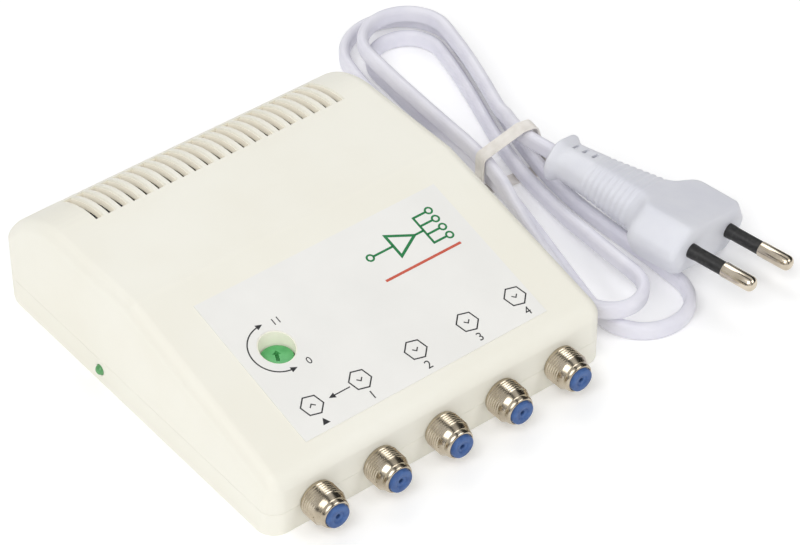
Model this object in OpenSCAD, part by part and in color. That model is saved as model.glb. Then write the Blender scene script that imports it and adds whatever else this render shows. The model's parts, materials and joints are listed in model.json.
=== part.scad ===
// Indoor TV signal amplifier: a drafted two-shell case with one input and four output
// coaxial sockets, a gain trimmer, a pilot lamp and a hanked mains cord with a two-pin plug.
// Frame: origin at the middle of the case's footprint, sockets towards -Y, +Z up.

/* [Case] */
// Width of the case at the table
case_w = 100; // [92:1:120]
// Depth of the case, front wall to rear wall
case_d = 112; // [108:1:130]
// Height of the flat rear roof
case_h = 31; // [30:0.5:38]
// Height at which the front wall's plane meets the sloping panel
front_h = 16.5; // [15:0.5:20]
// Distance from the front wall back to the ridge where the slope ends
ridge_back = 56; // [48:1:64]
// How far each side wall leans in over the full height
side_draft = 2; // [1:0.5:6]
// Rounding of the edge between front wall and sloping panel
front_edge_r = 5; // [3:0.5:6]
// Radius of the roof's roll down to the rear
rear_r = 25; // [15:1:27]
// Plan radius of the two front corners
front_corner_r = 5; // [4:0.5:9]
// Plan radius of the two rear corners
rear_corner_r = 8; // [5:0.5:14]
// Thickness of the moulded walls
wall = 2.2; // [1.8:0.1:2.6]
// Thickness of the base's floor
floor_t = 2; // [1.5:0.1:2]
// Height of the locating lip that stands inside the cover
lip_h = 2; // [1:0.5:3]
// Thickness of the locating lip
lip_t = 1.2; // [0.8:0.1:1.5]
// Gap between the lip and the cover
lip_gap = 0.15; // [0.1:0.05:0.3]

/* [Vents] */
// Number of vent slots across the rear of the roof
slot_count = 21; // [11:1:21]
// Distance from slot to slot
slot_pitch = 3.6; // [3:0.05:3.75]
// Width of one slot
slot_w = 1.7; // [1:0.1:2.2]
// How far the row of slots lies to the right of the middle
slot_shift = 0.9; // [0:0.1:1.5]
// Distance from the slots' front ends to the rear wall
slot_start_back = 25.5; // [22:0.5:28]
// Distance from the slots' rear ends to the rear wall
slot_end_back = 11.5; // [8:0.5:14]

/* [Coaxial sockets] */
// Distance from socket to socket
socket_pitch = 18; // [17:0.5:19]
// Sideways place of the row's middle
socket_row_x = -0.8; // [-1.5:0.1:1.5]
// Height of the sockets' axes, where the two case halves meet
socket_z = 6.6; // [6.6:0.1:7]
// Radius of the barrel's outer thread
thread_r = 4.75; // [4.5:0.05:4.75]
// Length of barrel in front of the case
barrel_reach = 7.8; // [6:0.1:10]
// Radius of the smooth collar at the barrel's tip
collar_r = 4; // [3.8:0.05:4.3]
// Length of the smooth collar
collar_l = 1.4; // [0.8:0.1:2]
// Radius of the plastic insert
insert_r = 3.05; // [2.8:0.05:3.3]
// How far the insert stands out of the collar
insert_proud = 0.9; // [0.3:0.1:1.2]
// Radius of the centre contact
contact_r = 1; // [0.8:0.05:1.1]
// Gap between the barrel and its hole in the case
barrel_gap = 0.1; // [0.05:0.05:0.2]

/* [Gain trimmer] */
// Sideways place of the trimmer's axis
trim_x = -25.2; // [-28:0.1:-15]
// Place of the trimmer's axis behind the front wall
trim_back = 29.6; // [25:0.1:34]
// Radius of the spindle's slotted head
head_r = 4; // [3.6:0.05:4.1]
// Thickness of the slotted head
head_t = 3.2; // [2:0.1:4]
// Radius of the spindle below the head
spindle_r = 1.9; // [1.5:0.05:2.2]
// Ring gap between the head and the cover's guide collar round it
head_gap = 0.4; // [0.3:0.05:0.6]
// Depth of the head's top below the panel, at the axis
head_sink = 2.7; // [2.2:0.1:3.2]
// Direction of the screwdriver slot as it stands
slot_turn = 63; // [0:1:180]
// Running gap between spindle and trimmer body
spindle_gap = 0.05; // [0.03:0.01:0.1]

/* [Circuit board] */
// Thickness of the board
board_t = 1.5; // [1.2:0.1:1.6]
// Height of the board's underside over the floor
board_lift = 1.9; // [1.6:0.1:2]
// Gap from the board's side edges to the walls at the table
board_side_gap = 6; // [5.5:0.5:7]
// Gap from the rear wall to the board
board_rear_gap = 10; // [8:0.5:12]
// Height of the shield's walls over the board
shield_h = 9; // [8:0.5:10]
// Thickness of the shield's sheet
shield_t = 0.5; // [0.3:0.1:0.8]

/* [Transformer] */
// Width of the laminated core
core_w = 36; // [30:1:38]
// Gap between the laminated core and the roof above it
core_headroom = 1.2; // [1:0.1:4]
// Thickness of the lamination stack
stack_t = 14; // [12:0.5:15]
// Share of the core's height that its middle limb takes
limb_share = 0.285; // [0.24:0.005:0.33]

/* [Cord and plug] */
// Width of the flat mains cord
cord_w = 4.8; // [4.4:0.1:4.8]
// Thickness of the flat mains cord
cord_t = 3; // [2.6:0.1:3]
// Distance from the cord's exit to the rear wall
cord_exit_back = 30; // [29:1:32]
// Length of the bush outside the case
bush_out = 3.2; // [2:0.1:3.2]
// Number of turns in the hank
hank_turns = 2.3333; // [1.3333:1:2.3333]
// Half width of the hank's first loop
hank_half_w = 16.4; // [16:0.1:18]
// Half length of the hank's first loop
hank_reach = 74; // [68:1:76]
// How far in each next loop lies
lane_step = 5.2; // [5:0.1:5.4]
// How much shorter each next loop is at each end
reach_step = 9; // [8:0.5:9.5]
// How far the band draws the runs in
waist_draw = 6.7; // [6.2:0.1:6.9]
// How far the hank's waist lies off its middle line, towards the case
waist_shift = 2.5; // [2.2:0.1:2.8]
// How far the upper layer leans to the case at the hank's front end
layer_lean = 8; // [7.5:0.5:8.5]
// Height from one layer of the hank to the next
layer_step = 5.5; // [5.4:0.1:6]
// Width of the band round the hank
tie_w = 4; // [3:0.5:6]
// Thickness of the band
tie_t = 0.6; // [0.4:0.1:0.7]
// Radius of the plug's pins
pin_r = 2; // [1.9:0.05:2.2]
// Length of the plug's pins
pin_l = 19; // [18:0.5:20]
// Distance between the pins
pin_pitch = 18; // [17:0.5:19]
// Length of the pins' insulating sleeves
sleeve_l = 10; // [8:0.5:11]

/* [Hidden] */
$fn = 48;
eps = 0.01;
seam_z = socket_z;
front_y = -case_d / 2;
rear_y = case_d / 2;
slope = (case_h - front_h) / ridge_back;
slope_a = atan(slope);
slope_k = sqrt(1 + slope * slope);
lip_inset = wall + lip_gap + lip_t;
edge_c = [front_y + front_edge_r, front_h + slope * front_edge_r - front_edge_r * slope_k];
roll_c = [rear_y - rear_r, case_h - rear_r];
arc_step = 7.5;

// Board, with every part that stands on it placed from its edges
board_z = floor_t + board_lift;
board_top = board_z + board_t;
board_x = case_w / 2 - board_side_gap;
stub_l = 3.7;
flange_t = 1.6;
flange_w = 13;
neck_r = thread_r - 0.4;
thread_seat = 0.1;
stub_r = 3.9;
tab_w = 1.2;
wall_gap = 0.15;
flange_y = front_y + lip_inset + wall_gap;
stub_gap = 0.5;
board_front = flange_y + flange_t + stub_l + stub_gap;
board_rear = rear_y - board_rear_gap;
post_r = 3;
board_posts = [
    [-board_x + 3, board_front + 26],
    [board_x - 3, board_front + 26],
    [-board_x + 3, board_rear - 18],
    [board_x - 14, board_rear - 4]
];
board_bore_r = 1;
board_screw_r = 0.95;

// Screws that hold the cover: from below, through the base, into the cover's bosses
boss_x = case_w / 2 - 7.5;
boss_front = front_y + 20;
boss_rear = rear_y - 16;
boss_r = 4.2;
cover_boss_r = 3.6;
screw_r = 1.2;
screw_l = 11;
screw_head_r = 2.8;
screw_head_t = 2.2;
head_room = 0.3;
recess_z = 3.2;
bore_gap = 0.05;
shank_gap = 0.5;

trim_y = front_y + trim_back;
panel_z = front_h + slope * trim_back;
head_top = panel_z - head_sink;
guide_t = 1.2;
guide_drop = 1;
trim_body = 10;
trim_body_h = 4.6;
spindle_z = board_top + 0.8;

shield_x = board_x - 7;
shield_front = board_front + 4.5;
shield_d = 34;
shield_rear = shield_front + shield_d;
shield_top = board_top + shield_h;

// Transformer: as high as the roof leaves room for, with one yoke round two windows
core_x = 8;
core_y = board_rear - 22;
bobbin_t = 1.2;
core_z = board_top + bobbin_t;
core_h = case_h - wall - core_headroom - core_z;
core_mid = core_z + core_h / 2;
side_limb = core_w / 6;
limb_t = limb_share * core_h;
yoke_t = 0.19 * core_h;
window_w = core_w - 2 * side_limb;
window_h = (core_h - limb_t) / 2 - yoke_t;
bobbin_reach = 5;
cheek_t = 1;
sleeve_t = 0.6;
winding_gap = 0.3;
winding_reach = 4;
winding_l = window_w - 2 * (cheek_t + winding_gap) - 0.8;

// Fuse between the transformer and the right edge of the board
fuse_x = board_x - 8.5;
fuse_y = board_rear - 52;
fuse_l = 20;
fuse_r = 2.5;
fuse_cap_l = 5;
fuse_cap_t = 0.3;
fuse_z = board_top + 4;
clip_t = 0.5;

// Diodes beside the transformer, capacitors and the regulator with its heat sink
diode_l = 5;
diode_r = 1.3;
diode_pitch = 4.5;
can_r = 6.5;
can_h = 16;
small_can_r = 2.5;
small_can_h = 7.5;
reg_x = -board_x + 6;
reg_y = board_rear - 33;
reg_w = 10;
reg_t = 4.5;
reg_h = 12;
reg_leg_l = 3;
reg_leg_pitch = 2.54;
sink_h = 16;
sink_t = 1.5;
sink_margin = 2;
fin_l = 6;

lamp_r = 1.4;
lamp_y = rear_y - 44.4;
lead_t = 0.5;
lamp_z = board_z - lead_t / 2;
lamp_gap = 0.1;
side_at_lamp = case_w / 2 - side_draft * lamp_z / case_h;
lamp_rim_t = 0.8;
lamp_rim_w = 0.2;
lamp_seat_gap = 0.4;
lamp_back_x = side_at_lamp - lip_inset - lamp_seat_gap;

// Cord: bush in the right wall, free stretch, hank, second free stretch and plug
exit_z = seam_z;
side_at_exit = case_w / 2 - side_draft * exit_z / case_h;
bush_groove_r = 3.6;
bush_flange_r = 4.4;
bush_tip_r = 3.2;
bush_tip_x = side_at_exit + bush_out;
bush_flange_t = 1.4;
bush_seat_gap = 0.7;
bush_inner_x = side_at_exit - lip_inset - bush_seat_gap - bush_flange_t;
inner_end_x = board_x - 7;
clamp_x = board_x - 4;
clamp_reach = 7;

cord_exit_y = rear_y - cord_exit_back;
cord_foot = [case_w / 2, cord_exit_y];
floor_gap = 0.05;
lie_z = cord_w / 2 + floor_gap;
hank_mid = cord_foot + [26.4, -18];
hank_tilt = 8.2;
rings_per_turn = 24;
turn_back = 1.44;
climb_span = 0.11;
waist_at = -5;
waist_spread = 40;
lift_spread = 14;
lean_at = -15;
lean_soft = 20;
tie_gap = 0.3;
tie_slack = 0.6;

// First stretch: right of and behind the cord's foot, and the share of the way down to the table
lead_steps = [
    [4.5, 0, 0], [8.3, 0.7, 0.1], [11.6, 2.8, 0.27], [13.8, 6, 0.46], [14.8, 9.8, 0.65],
    [15.1, 14, 0.82], [15.4, 20, 0.96], [16.2, 27, 1], [17.3, 34.5, 1]
];

// Plug and second stretch: right of and behind the hank's middle, and the height
plug_at = [hank_mid.x + 13.5, hank_mid.y - 56.7, 10.3];
plug_l = 46;
sleeve_step = 0.2;
sleeve_cut = 0.8;
plug_yaw = 13;
plug_pitch = 4;
plug_roll = 17;
plug_steps = [[6.8, 12.5, 8.9], [4.5, 7.3, 10.5], [2.2, 0, 12.9], [1.7, -3.6, 13.7]];

socket_names = ["input", "out_1", "out_2", "out_3", "out_4"];
socket_count = len(socket_names);

// Points of an arc about c, from one angle to another
function arc(c, r, from, to, steps) =
    [for (i = [0:steps]) let (a = from + (to - from) * i / steps) [c.x + r * cos(a), c.y + r * sin(a)]];

// Outline of the case seen from the side, moved in by inset
function side_outline(inset) = concat(
    [[front_y + inset, 0]],
    arc(edge_c, front_edge_r - inset, 180, 90 + slope_a, 6),
    [[front_y + (case_h - inset - front_h + inset * slope_k) / slope, case_h - inset]],
    arc(roll_c, rear_r - inset, 90, 0, 90 / arc_step),
    [[rear_y - inset, 0]]
);

module plan_outline(inset) {
    half = case_w / 2;
    translate([inset - half, front_y + front_corner_r])
        square([case_w - 2 * inset, case_d - front_corner_r - rear_corner_r]);
    translate([front_corner_r - half, front_y + inset])
        square([case_w - 2 * front_corner_r, front_corner_r]);
    translate([rear_corner_r - half, rear_y - rear_corner_r - inset])
        square([case_w - 2 * rear_corner_r, rear_corner_r]);
    for (side = [-1, 1]) {
        translate([side * (half - front_corner_r), front_y + front_corner_r]) circle(front_corner_r - inset);
        translate([side * (half - rear_corner_r), rear_y - rear_corner_r]) circle(rear_corner_r - inset);
    }
}

// The case's outer form moved in by inset, from the table up
module case_form(inset) {
    low = case_w / 2 - inset;
    intersection() {
        translate([-case_w / 2, 0, 0])
            rotate([90, 0, 90])
                linear_extrude(case_w) polygon(side_outline(inset));
        translate([0, rear_y, 0])
            rotate([90, 0, 0])
                linear_extrude(case_d)
                    polygon([[-low, 0], [low, 0], [low - side_draft, case_h], [side_draft - low, case_h]]);
        linear_extrude(case_h) plan_outline(inset);
    }
}

module slab(from, to) {
    translate([-case_w, -case_d, from]) cube([2 * case_w, 2 * case_d, to - from]);
}

function socket_x(i) = socket_row_x + (i - (socket_count - 1) / 2) * socket_pitch;

// Everything that passes through the joint between the two case halves
module seam_openings() {
    for (i = [0:socket_count - 1])
        translate([socket_x(i), front_y + lip_inset + 1, socket_z])
            rotate([90, 0, 0]) cylinder(h = lip_inset + 2, r = neck_r + barrel_gap);
    translate([-side_at_lamp - 1, lamp_y, lamp_z])
        rotate([0, 90, 0]) cylinder(h = lip_inset + 3, r = lamp_r + lamp_gap);
    translate([side_at_exit - lip_inset - 2, cord_exit_y, exit_z])
        rotate([0, 90, 0]) cylinder(h = lip_inset + 4, r = bush_groove_r + barrel_gap);
}

function boss_places() = [for (side = [-1, 1]) for (y = [boss_front, boss_rear]) [side * boss_x, y]];

module base_tray() {
    color("#EFEDE2") difference() {
        union() {
            difference() {
                intersection() {
                    case_form(0);
                    slab(-1, seam_z);
                }
                intersection() {
                    case_form(lip_inset);
                    slab(floor_t, seam_z + 1);
                }
            }
            locating_lip();
            for (p = boss_places())
                translate([p.x, p.y, 1]) cylinder(h = seam_z - 1, r = boss_r);
            for (p = board_posts)
                translate([p.x, p.y, 1]) cylinder(h = board_z - 1, r = post_r);
            for (side = [-1, 1])
                translate([clamp_x, cord_exit_y + side * clamp_reach, 1])
                    cylinder(h = exit_z + cord_w / 2 + bore_gap - 1, r = 2.2);
        }
        seam_openings();
        for (p = boss_places()) {
            translate([p.x, p.y, -1]) cylinder(h = recess_z + 1, r = screw_head_r + head_room);
            translate([p.x, p.y, 0]) cylinder(h = seam_z + 1, r = screw_r + shank_gap);
        }
        for (p = board_posts)
            translate([p.x, p.y, 0.8]) cylinder(h = board_z, r = board_bore_r);
        for (side = [-1, 1])
            translate([clamp_x, cord_exit_y + side * clamp_reach, floor_t])
                cylinder(h = case_h, r = board_bore_r);
    }
}

// Ring that stands up inside the cover, left out behind the front wall
module locating_lip() {
    intersection() {
        difference() {
            case_form(wall + lip_gap);
            case_form(lip_inset);
            for (p = boss_places())
                translate([p.x, p.y, seam_z]) cylinder(h = case_h, r = cover_boss_r + lip_gap);
        }
        slab(seam_z - eps, seam_z + lip_h);
        translate([-case_w, front_y + 2 * lip_inset, 0]) cube([2 * case_w, 2 * case_d, case_h]);
    }
}

module top_cover() {
    color("#F1EFE4") difference() {
        union() {
            difference() {
                intersection() {
                    case_form(0);
                    slab(seam_z, case_h + 1);
                }
                intersection() {
                    case_form(wall);
                    slab(seam_z - 1, case_h + 1);
                }
            }
            for (p = boss_places())
                intersection() {
                    case_form(wall / 2);
                    translate([p.x, p.y, seam_z + lip_gap]) cylinder(h = case_h, r = cover_boss_r);
                }
            intersection() {
                case_form(wall / 2);
                translate([trim_x, trim_y, head_top - guide_drop])
                    cylinder(h = case_h, r = head_r + head_gap + guide_t);
            }
        }
        seam_openings();
        for (p = boss_places())
            translate([p.x, p.y, 0]) cylinder(h = recess_z + screw_l + 1, r = screw_r + bore_gap);
        translate([trim_x, trim_y, shield_top + 1]) cylinder(h = case_h, r = head_r + head_gap);
        vent_slots();
    }
}

module vent_slots() {
    length = slot_start_back - slot_end_back;
    first_x = slot_shift - (slot_count - 1) / 2 * slot_pitch - slot_w / 2;
    for (i = [0:slot_count - 1])
        translate([first_x + i * slot_pitch, rear_y - slot_start_back, roll_c.y + rear_r / 2])
            cube([slot_w, length, case_h]);
}

// Printed sticker on the sloping panel, cut out round the trimmer
module front_label() {
    label_w = 71;
    label_d = 44;
    label_t = 0.15;
    color("#ECEBE8") difference() {
        translate([0.5 - label_w / 2, front_y, front_h])
            rotate([slope_a, 0, 0]) translate([0, 6, 0.01]) cube([label_w, label_d, label_t]);
        translate([trim_x, trim_y, 0]) cylinder(h = case_h, r = head_r + head_gap + 0.3);
    }
}

// Nickelled barrel: collar, thread, flange behind the wall, stub and two solder tabs
module socket_barrel(i) {
    tip_y = front_y - barrel_reach;
    bore_r = insert_r + bore_gap;
    color("#C9C7C0") translate([socket_x(i), 0, socket_z]) difference() {
        union() {
            translate([0, front_y - thread_seat, 0])
                rotate([90, 0, 0]) cylinder(h = barrel_reach - thread_seat - collar_l, r = thread_r);
            translate([0, flange_y, 0]) rotate([90, 0, 0]) cylinder(h = flange_y - front_y + 1, r = neck_r);
            translate([0, flange_y, 0]) rotate([90, 0, 0]) cylinder(h = flange_y - tip_y, r = collar_r);
            translate([-flange_w / 2, flange_y, floor_t + 0.2 - socket_z]) cube([flange_w, flange_t, 8.8]);
            translate([0, flange_y + flange_t + stub_l, 0])
                rotate([90, 0, 0]) cylinder(h = stub_l + 1, r = stub_r);
            for (side = [-1, 1])
                translate([side * (stub_r - 0.7) - tab_w / 2, flange_y + flange_t, board_top - socket_z])
                    cube([tab_w, stub_l + 4.5, 0.9]);
        }
        translate([0, flange_y + flange_t, 0]) rotate([90, 0, 0]) cylinder(h = case_d, r = bore_r);
        rotate([90, 0, 0]) cylinder(h = case_d, r = contact_r + 0.6);
    }
}

// Coloured plastic insert that centres the contact
module socket_insert(i) {
    tip_y = front_y - barrel_reach - insert_proud;
    color("#52699A") translate([socket_x(i), 0, socket_z]) difference() {
        translate([0, flange_y + flange_t, 0])
            rotate([90, 0, 0]) cylinder(h = flange_y + flange_t - tip_y, r = insert_r);
        translate([0, flange_y + flange_t + 1, 0])
            rotate([90, 0, 0]) cylinder(h = flange_y + flange_t + 1 - tip_y - 2, r = contact_r + bore_gap);
        rotate([90, 0, 0]) cylinder(h = case_d, r = 0.6);
    }
}

// Sprung centre contact with a tail that drops onto the board
module socket_contact(i) {
    tip_y = front_y - barrel_reach - insert_proud + 2.3;
    tail_y = board_front + 3;
    tail_w = 0.8;
    color("#C8A860") translate([socket_x(i), 0, socket_z]) difference() {
        union() {
            translate([0, board_front, 0])
                rotate([90, 0, 0]) cylinder(h = board_front - tip_y, r = contact_r);
            translate([-tail_w / 2, board_front - 1, board_top - socket_z])
                cube([tail_w, tail_y - board_front + 1, tail_w]);
        }
        translate([0, tip_y + 6, 0]) rotate([90, 0, 0]) cylinder(h = 7, r = 0.45);
        translate([-2, board_front - 3, -socket_z]) cube([4, 3, board_top]);
    }
}

module circuit_board() {
    color("#3E6B45") difference() {
        translate([-board_x, board_front, board_z]) cube([2 * board_x, board_rear - board_front, board_t]);
        for (p = boss_places())
            translate([p.x, p.y, 0]) cylinder(h = case_h, r = boss_r + 0.4);
        for (p = board_posts)
            translate([p.x, p.y, 0]) cylinder(h = case_h, r = board_screw_r + 0.25);
        translate([inner_end_x - 0.6, cord_exit_y - clamp_reach - 3, 0])
            cube([case_w, 2 * clamp_reach + 6, case_h]);
    }
}

module round_screw(at, head, shank, length) {
    translate(at) {
        cylinder(h = head.y, r = head.x);
        translate([0, 0, -length]) cylinder(h = length + eps, r = shank);
    }
}

module board_screws() {
    color("#B8B8B4") for (p = board_posts)
        round_screw([p.x, p.y, board_top], [2.3, 1.6], board_screw_r, board_t + board_lift + 0.8);
}

module case_screws() {
    color("#B8B8B4") for (p = boss_places())
        translate([p.x, p.y, 0]) {
            translate([0, 0, recess_z - screw_head_t]) cylinder(h = screw_head_t, r = screw_head_r);
            translate([0, 0, recess_z - eps]) cylinder(h = screw_l, r = screw_r);
        }
}

module shield_frame() {
    depth = shield_rear - shield_front;
    color("#B9BCC0") difference() {
        translate([-shield_x, shield_front, board_top]) cube([2 * shield_x, depth, shield_h]);
        translate([shield_t - shield_x, shield_front + shield_t, 0])
            cube([2 * (shield_x - shield_t), depth - 2 * shield_t, case_h]);
    }
}

module shield_lid() {
    color("#C3C6C9") difference() {
        translate([-shield_x, shield_front, shield_top])
            cube([2 * shield_x, shield_rear - shield_front, shield_t]);
        translate([trim_x, trim_y, 0]) cylinder(h = case_h, r = spindle_r + 0.7);
    }
}

module trimmer_body() {
    color("#2B2B2D") difference() {
        translate([trim_x - trim_body / 2, trim_y - trim_body / 2, board_top])
            cube([trim_body, trim_body, trim_body_h]);
        translate([trim_x, trim_y, spindle_z - spindle_gap])
            cylinder(h = case_h, r = spindle_r + spindle_gap);
    }
}

// Slotted green spindle that is turned with a screwdriver through the cover
module trimmer_spindle() {
    slot = [3.2, 0.9, 1.4];
    color("#72AA77") difference() {
        translate([trim_x, trim_y, 0]) {
            translate([0, 0, spindle_z]) cylinder(h = head_top - head_t - spindle_z + eps, r = spindle_r);
            translate([0, 0, head_top - head_t]) cylinder(h = head_t, r = head_r);
        }
        translate([trim_x, trim_y, head_top - slot.z])
            rotate([0, 0, slot_turn])
                translate([-slot.x / 2, -slot.y / 2, 0]) cube([slot.x, slot.y, slot.z + 1]);
    }
}

// Green pilot lamp whose dome looks out of the left wall
module pilot_lamp() {
    body_x = lamp_back_x;
    dome_x = side_at_lamp - 0.3;
    color("#4FA35A") translate([0, lamp_y, lamp_z]) rotate([0, -90, 0]) {
        translate([0, 0, body_x]) cylinder(h = dome_x - body_x, r = lamp_r);
        translate([0, 0, body_x - lamp_rim_t]) cylinder(h = lamp_rim_t + eps, r = lamp_r + lamp_rim_w);
        translate([0, 0, dome_x]) intersection() {
            sphere(r = lamp_r);
            translate([0, 0, lamp_r - eps]) cube(2 * lamp_r, center = true);
        }
    }
}

module lamp_leads() {
    from_x = lamp_back_x - lamp_rim_t;
    lead_l = from_x - board_x + 3;
    color("#C4C4C0") for (side = [-1, 1])
        translate([-from_x, lamp_y + side * 1.27 - lead_t / 2, board_z - lead_t])
            cube([lead_l, lead_t, lead_t]);
}

// Laminated core with the winding's two windows
module transformer_core() {
    color("#6C6A68") translate([core_x, core_y + stack_t / 2, core_mid])
        rotate([90, 0, 0]) linear_extrude(stack_t) difference() {
            square([core_w, core_h], center = true);
            for (side = [-1, 1])
                translate([0, side * (limb_t + window_h) / 2]) square([window_w, window_h], center = true);
        }
}

// Bobbin: foot plate under the core and a sleeve with two cheeks round the middle limb
module transformer_bobbin() {
    inner = [stack_t + 2 * bore_gap, limb_t + 2 * bore_gap];
    outer = [stack_t + 2 * sleeve_t, limb_t + 2 * sleeve_t];
    cheek = [stack_t + 2 * bobbin_reach, limb_t + 2 * window_h - 2 * winding_gap];
    cheek_x = (winding_l + cheek_t) / 2 + winding_gap;
    leg = [cheek_t, 3, core_mid - board_top];
    color("#E4DCC4") {
        translate([core_x - core_w / 2, core_y - cheek.x / 2, board_top])
            cube([core_w, cheek.x, bobbin_t]);
        translate([core_x, core_y, core_mid]) difference() {
            union() {
                cube([window_w - 2 * winding_gap, outer.x, outer.y], center = true);
                for (side = [-1, 1])
                    translate([side * cheek_x, 0, 0]) cube([cheek_t, cheek.x, cheek.y], center = true);
            }
            cube([core_w, inner.x, inner.y], center = true);
        }
        for (side = [-1, 1])
            translate([core_x + side * cheek_x, core_y - stack_t / 2 - winding_reach, board_top])
                translate([-cheek_t / 2, 0, 0]) cube(leg);
    }
}

module transformer_winding() {
    outer = [stack_t + 2 * winding_reach, limb_t + 2 * window_h - 4 * winding_gap];
    inner = [stack_t, limb_t] + 2 * (sleeve_t + bore_gap) * [1, 1];
    color("#A8622E") translate([core_x, core_y, core_mid]) difference() {
        cube([winding_l, outer.x, outer.y], center = true);
        cube([case_w, inner.x, inner.y], center = true);
    }
}

module along_y(y, length, r) {
    translate([fuse_x, y, fuse_z]) rotate([-90, 0, 0]) cylinder(h = length, r = r);
}

module fuse_tube() {
    color("#DCE4E6") along_y(fuse_y + 1, fuse_l - 2, fuse_r - fuse_cap_t);
}

module fuse_caps() {
    color("#BFC1C4") for (end = [0, 1])
        difference() {
            along_y(fuse_y + end * (fuse_l - fuse_cap_l), fuse_cap_l, fuse_r);
            along_y(fuse_y + 1, fuse_l - 2, fuse_r - fuse_cap_t + bore_gap);
        }
}

// Two sprung clips: a foot on the board and two jaws that hold the fuse's caps
module fuse_clips() {
    jaw = fuse_r + bore_gap;
    color("#C2A24C") for (end = [0, 1])
        translate([fuse_x, fuse_y + 0.7 + end * (fuse_l - fuse_cap_l), 0]) difference() {
            translate([-jaw - clip_t, 0, board_top])
                cube([2 * (jaw + clip_t), fuse_cap_l - 1.4, fuse_z - board_top + 1]);
            translate([0, -1, fuse_z]) rotate([-90, 0, 0]) cylinder(h = fuse_cap_l, r = jaw);
            translate([-jaw, -1, board_top + 0.6]) cube([2 * jaw, fuse_cap_l, fuse_z]);
        }
}

module rectifier_diodes() {
    color("#1E1E20") for (i = [0:3])
        translate([core_x - core_w / 2 - diode_l, core_y + (i - 2) * diode_pitch, board_top + diode_r])
            rotate([0, -90, 0]) cylinder(h = diode_l, r = diode_r);
}

module main_capacitor() {
    color("#23262E") translate([-board_x + 17, board_rear - 9, board_top]) cylinder(h = can_h, r = can_r);
}

module small_capacitors() {
    color("#2A2D35") for (i = [0:2])
        translate([-board_x + 10 + 3 * small_can_r * i, board_rear - 48, board_top])
            cylinder(h = small_can_h, r = small_can_r);
}

module voltage_regulator() {
    color("#262628") {
        translate([reg_x, reg_y, board_top + reg_leg_l]) cube([reg_w, reg_t, reg_h]);
        for (i = [-1:1])
            translate([reg_x + reg_w / 2 + reg_leg_pitch * i - 0.4, reg_y + reg_t / 2, board_top])
                cube([0.8, 0.6, reg_leg_l + eps]);
    }
}

module heat_sink() {
    sink_w = reg_w + 2 * sink_margin;
    color("#A9ADB0") translate([reg_x - sink_margin, reg_y + reg_t, board_top]) {
        cube([sink_w, sink_t, sink_h]);
        for (side = [0, 1])
            translate([side * (sink_w - sink_t), sink_t - eps, 0]) cube([sink_t, fin_l, sink_h]);
    }
}

module amplifier_chip() {
    color("#202022") translate([trim_x + 14, trim_y - 3, board_top]) cube([5, 6, 1.7]);
}

// Ferrite rings of the splitter, lying on the board
module ferrite_rings() {
    ring_r = 2.8;
    bead_r = 1.1;
    color("#3A3A3C") for (i = [0:2])
        translate([trim_x + 27 + 11 * i, trim_y, board_top + bead_r])
            rotate_extrude() translate([ring_r, 0]) circle(bead_r, $fn = 24);
}

// Tapered bush: tip outside, groove held by the wall, flange inside
module cord_bush() {
    inner_x = bush_inner_x;
    wall_in = inner_x + bush_flange_t;
    color("#E9E9EC") translate([0, cord_exit_y, exit_z]) rotate([0, 90, 0]) {
        translate([0, 0, inner_x]) cylinder(h = wall_in - inner_x, r = bush_flange_r);
        translate([0, 0, inner_x]) cylinder(h = bush_tip_x - inner_x, r = bush_tip_r);
        translate([0, 0, inner_x]) cylinder(h = side_at_exit + 0.6 - inner_x, r = bush_groove_r);
        translate([0, 0, side_at_exit + 0.6]) cylinder(h = 1, r = bush_flange_r);
    }
}

// Cord end inside the case, held down by the clamp
module cord_inner() {
    color("#DEDEE4") translate([inner_end_x, cord_exit_y - cord_t / 2, exit_z - cord_w / 2])
        cube([bush_inner_x - inner_end_x, cord_t, cord_w]);
}

module cord_clamp() {
    bar = [5, 2 * clamp_reach + 5, 1.6];
    color("#E8E5D8") difference() {
        translate([clamp_x - bar.x / 2, cord_exit_y - bar.y / 2, exit_z + cord_w / 2 + bore_gap]) cube(bar);
        for (side = [-1, 1])
            translate([clamp_x, cord_exit_y + side * clamp_reach, 0])
                cylinder(h = case_h, r = board_screw_r + 0.25);
    }
}

module clamp_screws() {
    color("#B8B8B4") for (side = [-1, 1])
        round_screw([clamp_x, cord_exit_y + side * clamp_reach, exit_z + cord_w / 2 + bore_gap + 1.6],
            [1.9, 1.3], board_screw_r, 7);
}

// Two insulated cores that run from the cord's end to the board
module mains_wires() {
    core_r = 0.7;
    reach = 3;
    color("#5B7FB0") for (side = [-1, 1])
        translate([inner_end_x, cord_exit_y + side * cord_t / 4, exit_z]) {
            rotate([0, -90, 0]) cylinder(h = reach, r = core_r);
            translate([-reach, 0, board_top - exit_z]) cylinder(h = exit_z - board_top, r = core_r);
            translate([-reach, 0, 0]) sphere(r = core_r);
        }
}

function unit(v) = v / norm(v);

// Ring of a flat cord that stands on edge: a across, b up, facing along t
function cord_ring(c, t, sides, turn, a, b) =
    let (n = unit([t.y, -t.x, 0]), m = cross(n, t))
    [for (j = [0:sides - 1]) let (q = turn + 360 * j / sides) c + n * a * cos(q) + m * b * sin(q)];

// Closed tube of triangles through rings of equal size
module tube(rings) {
    sides = len(rings[0]);
    last = len(rings) - 1;
    end = last * sides;
    walls = [
        for (i = [0:last - 1]) for (j = [0:sides - 1])
            let (k = (j + 1) % sides, p = i * sides, q = p + sides)
            each [[p + j, q + j, p + k], [p + k, q + j, q + k]]
    ];
    caps = [for (j = [1:sides - 2]) each [[0, j, j + 1], [end, end + j + 1, end + j]]];
    polyhedron(points = [for (ring = rings) each ring], faces = concat(walls, caps));
}

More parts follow.
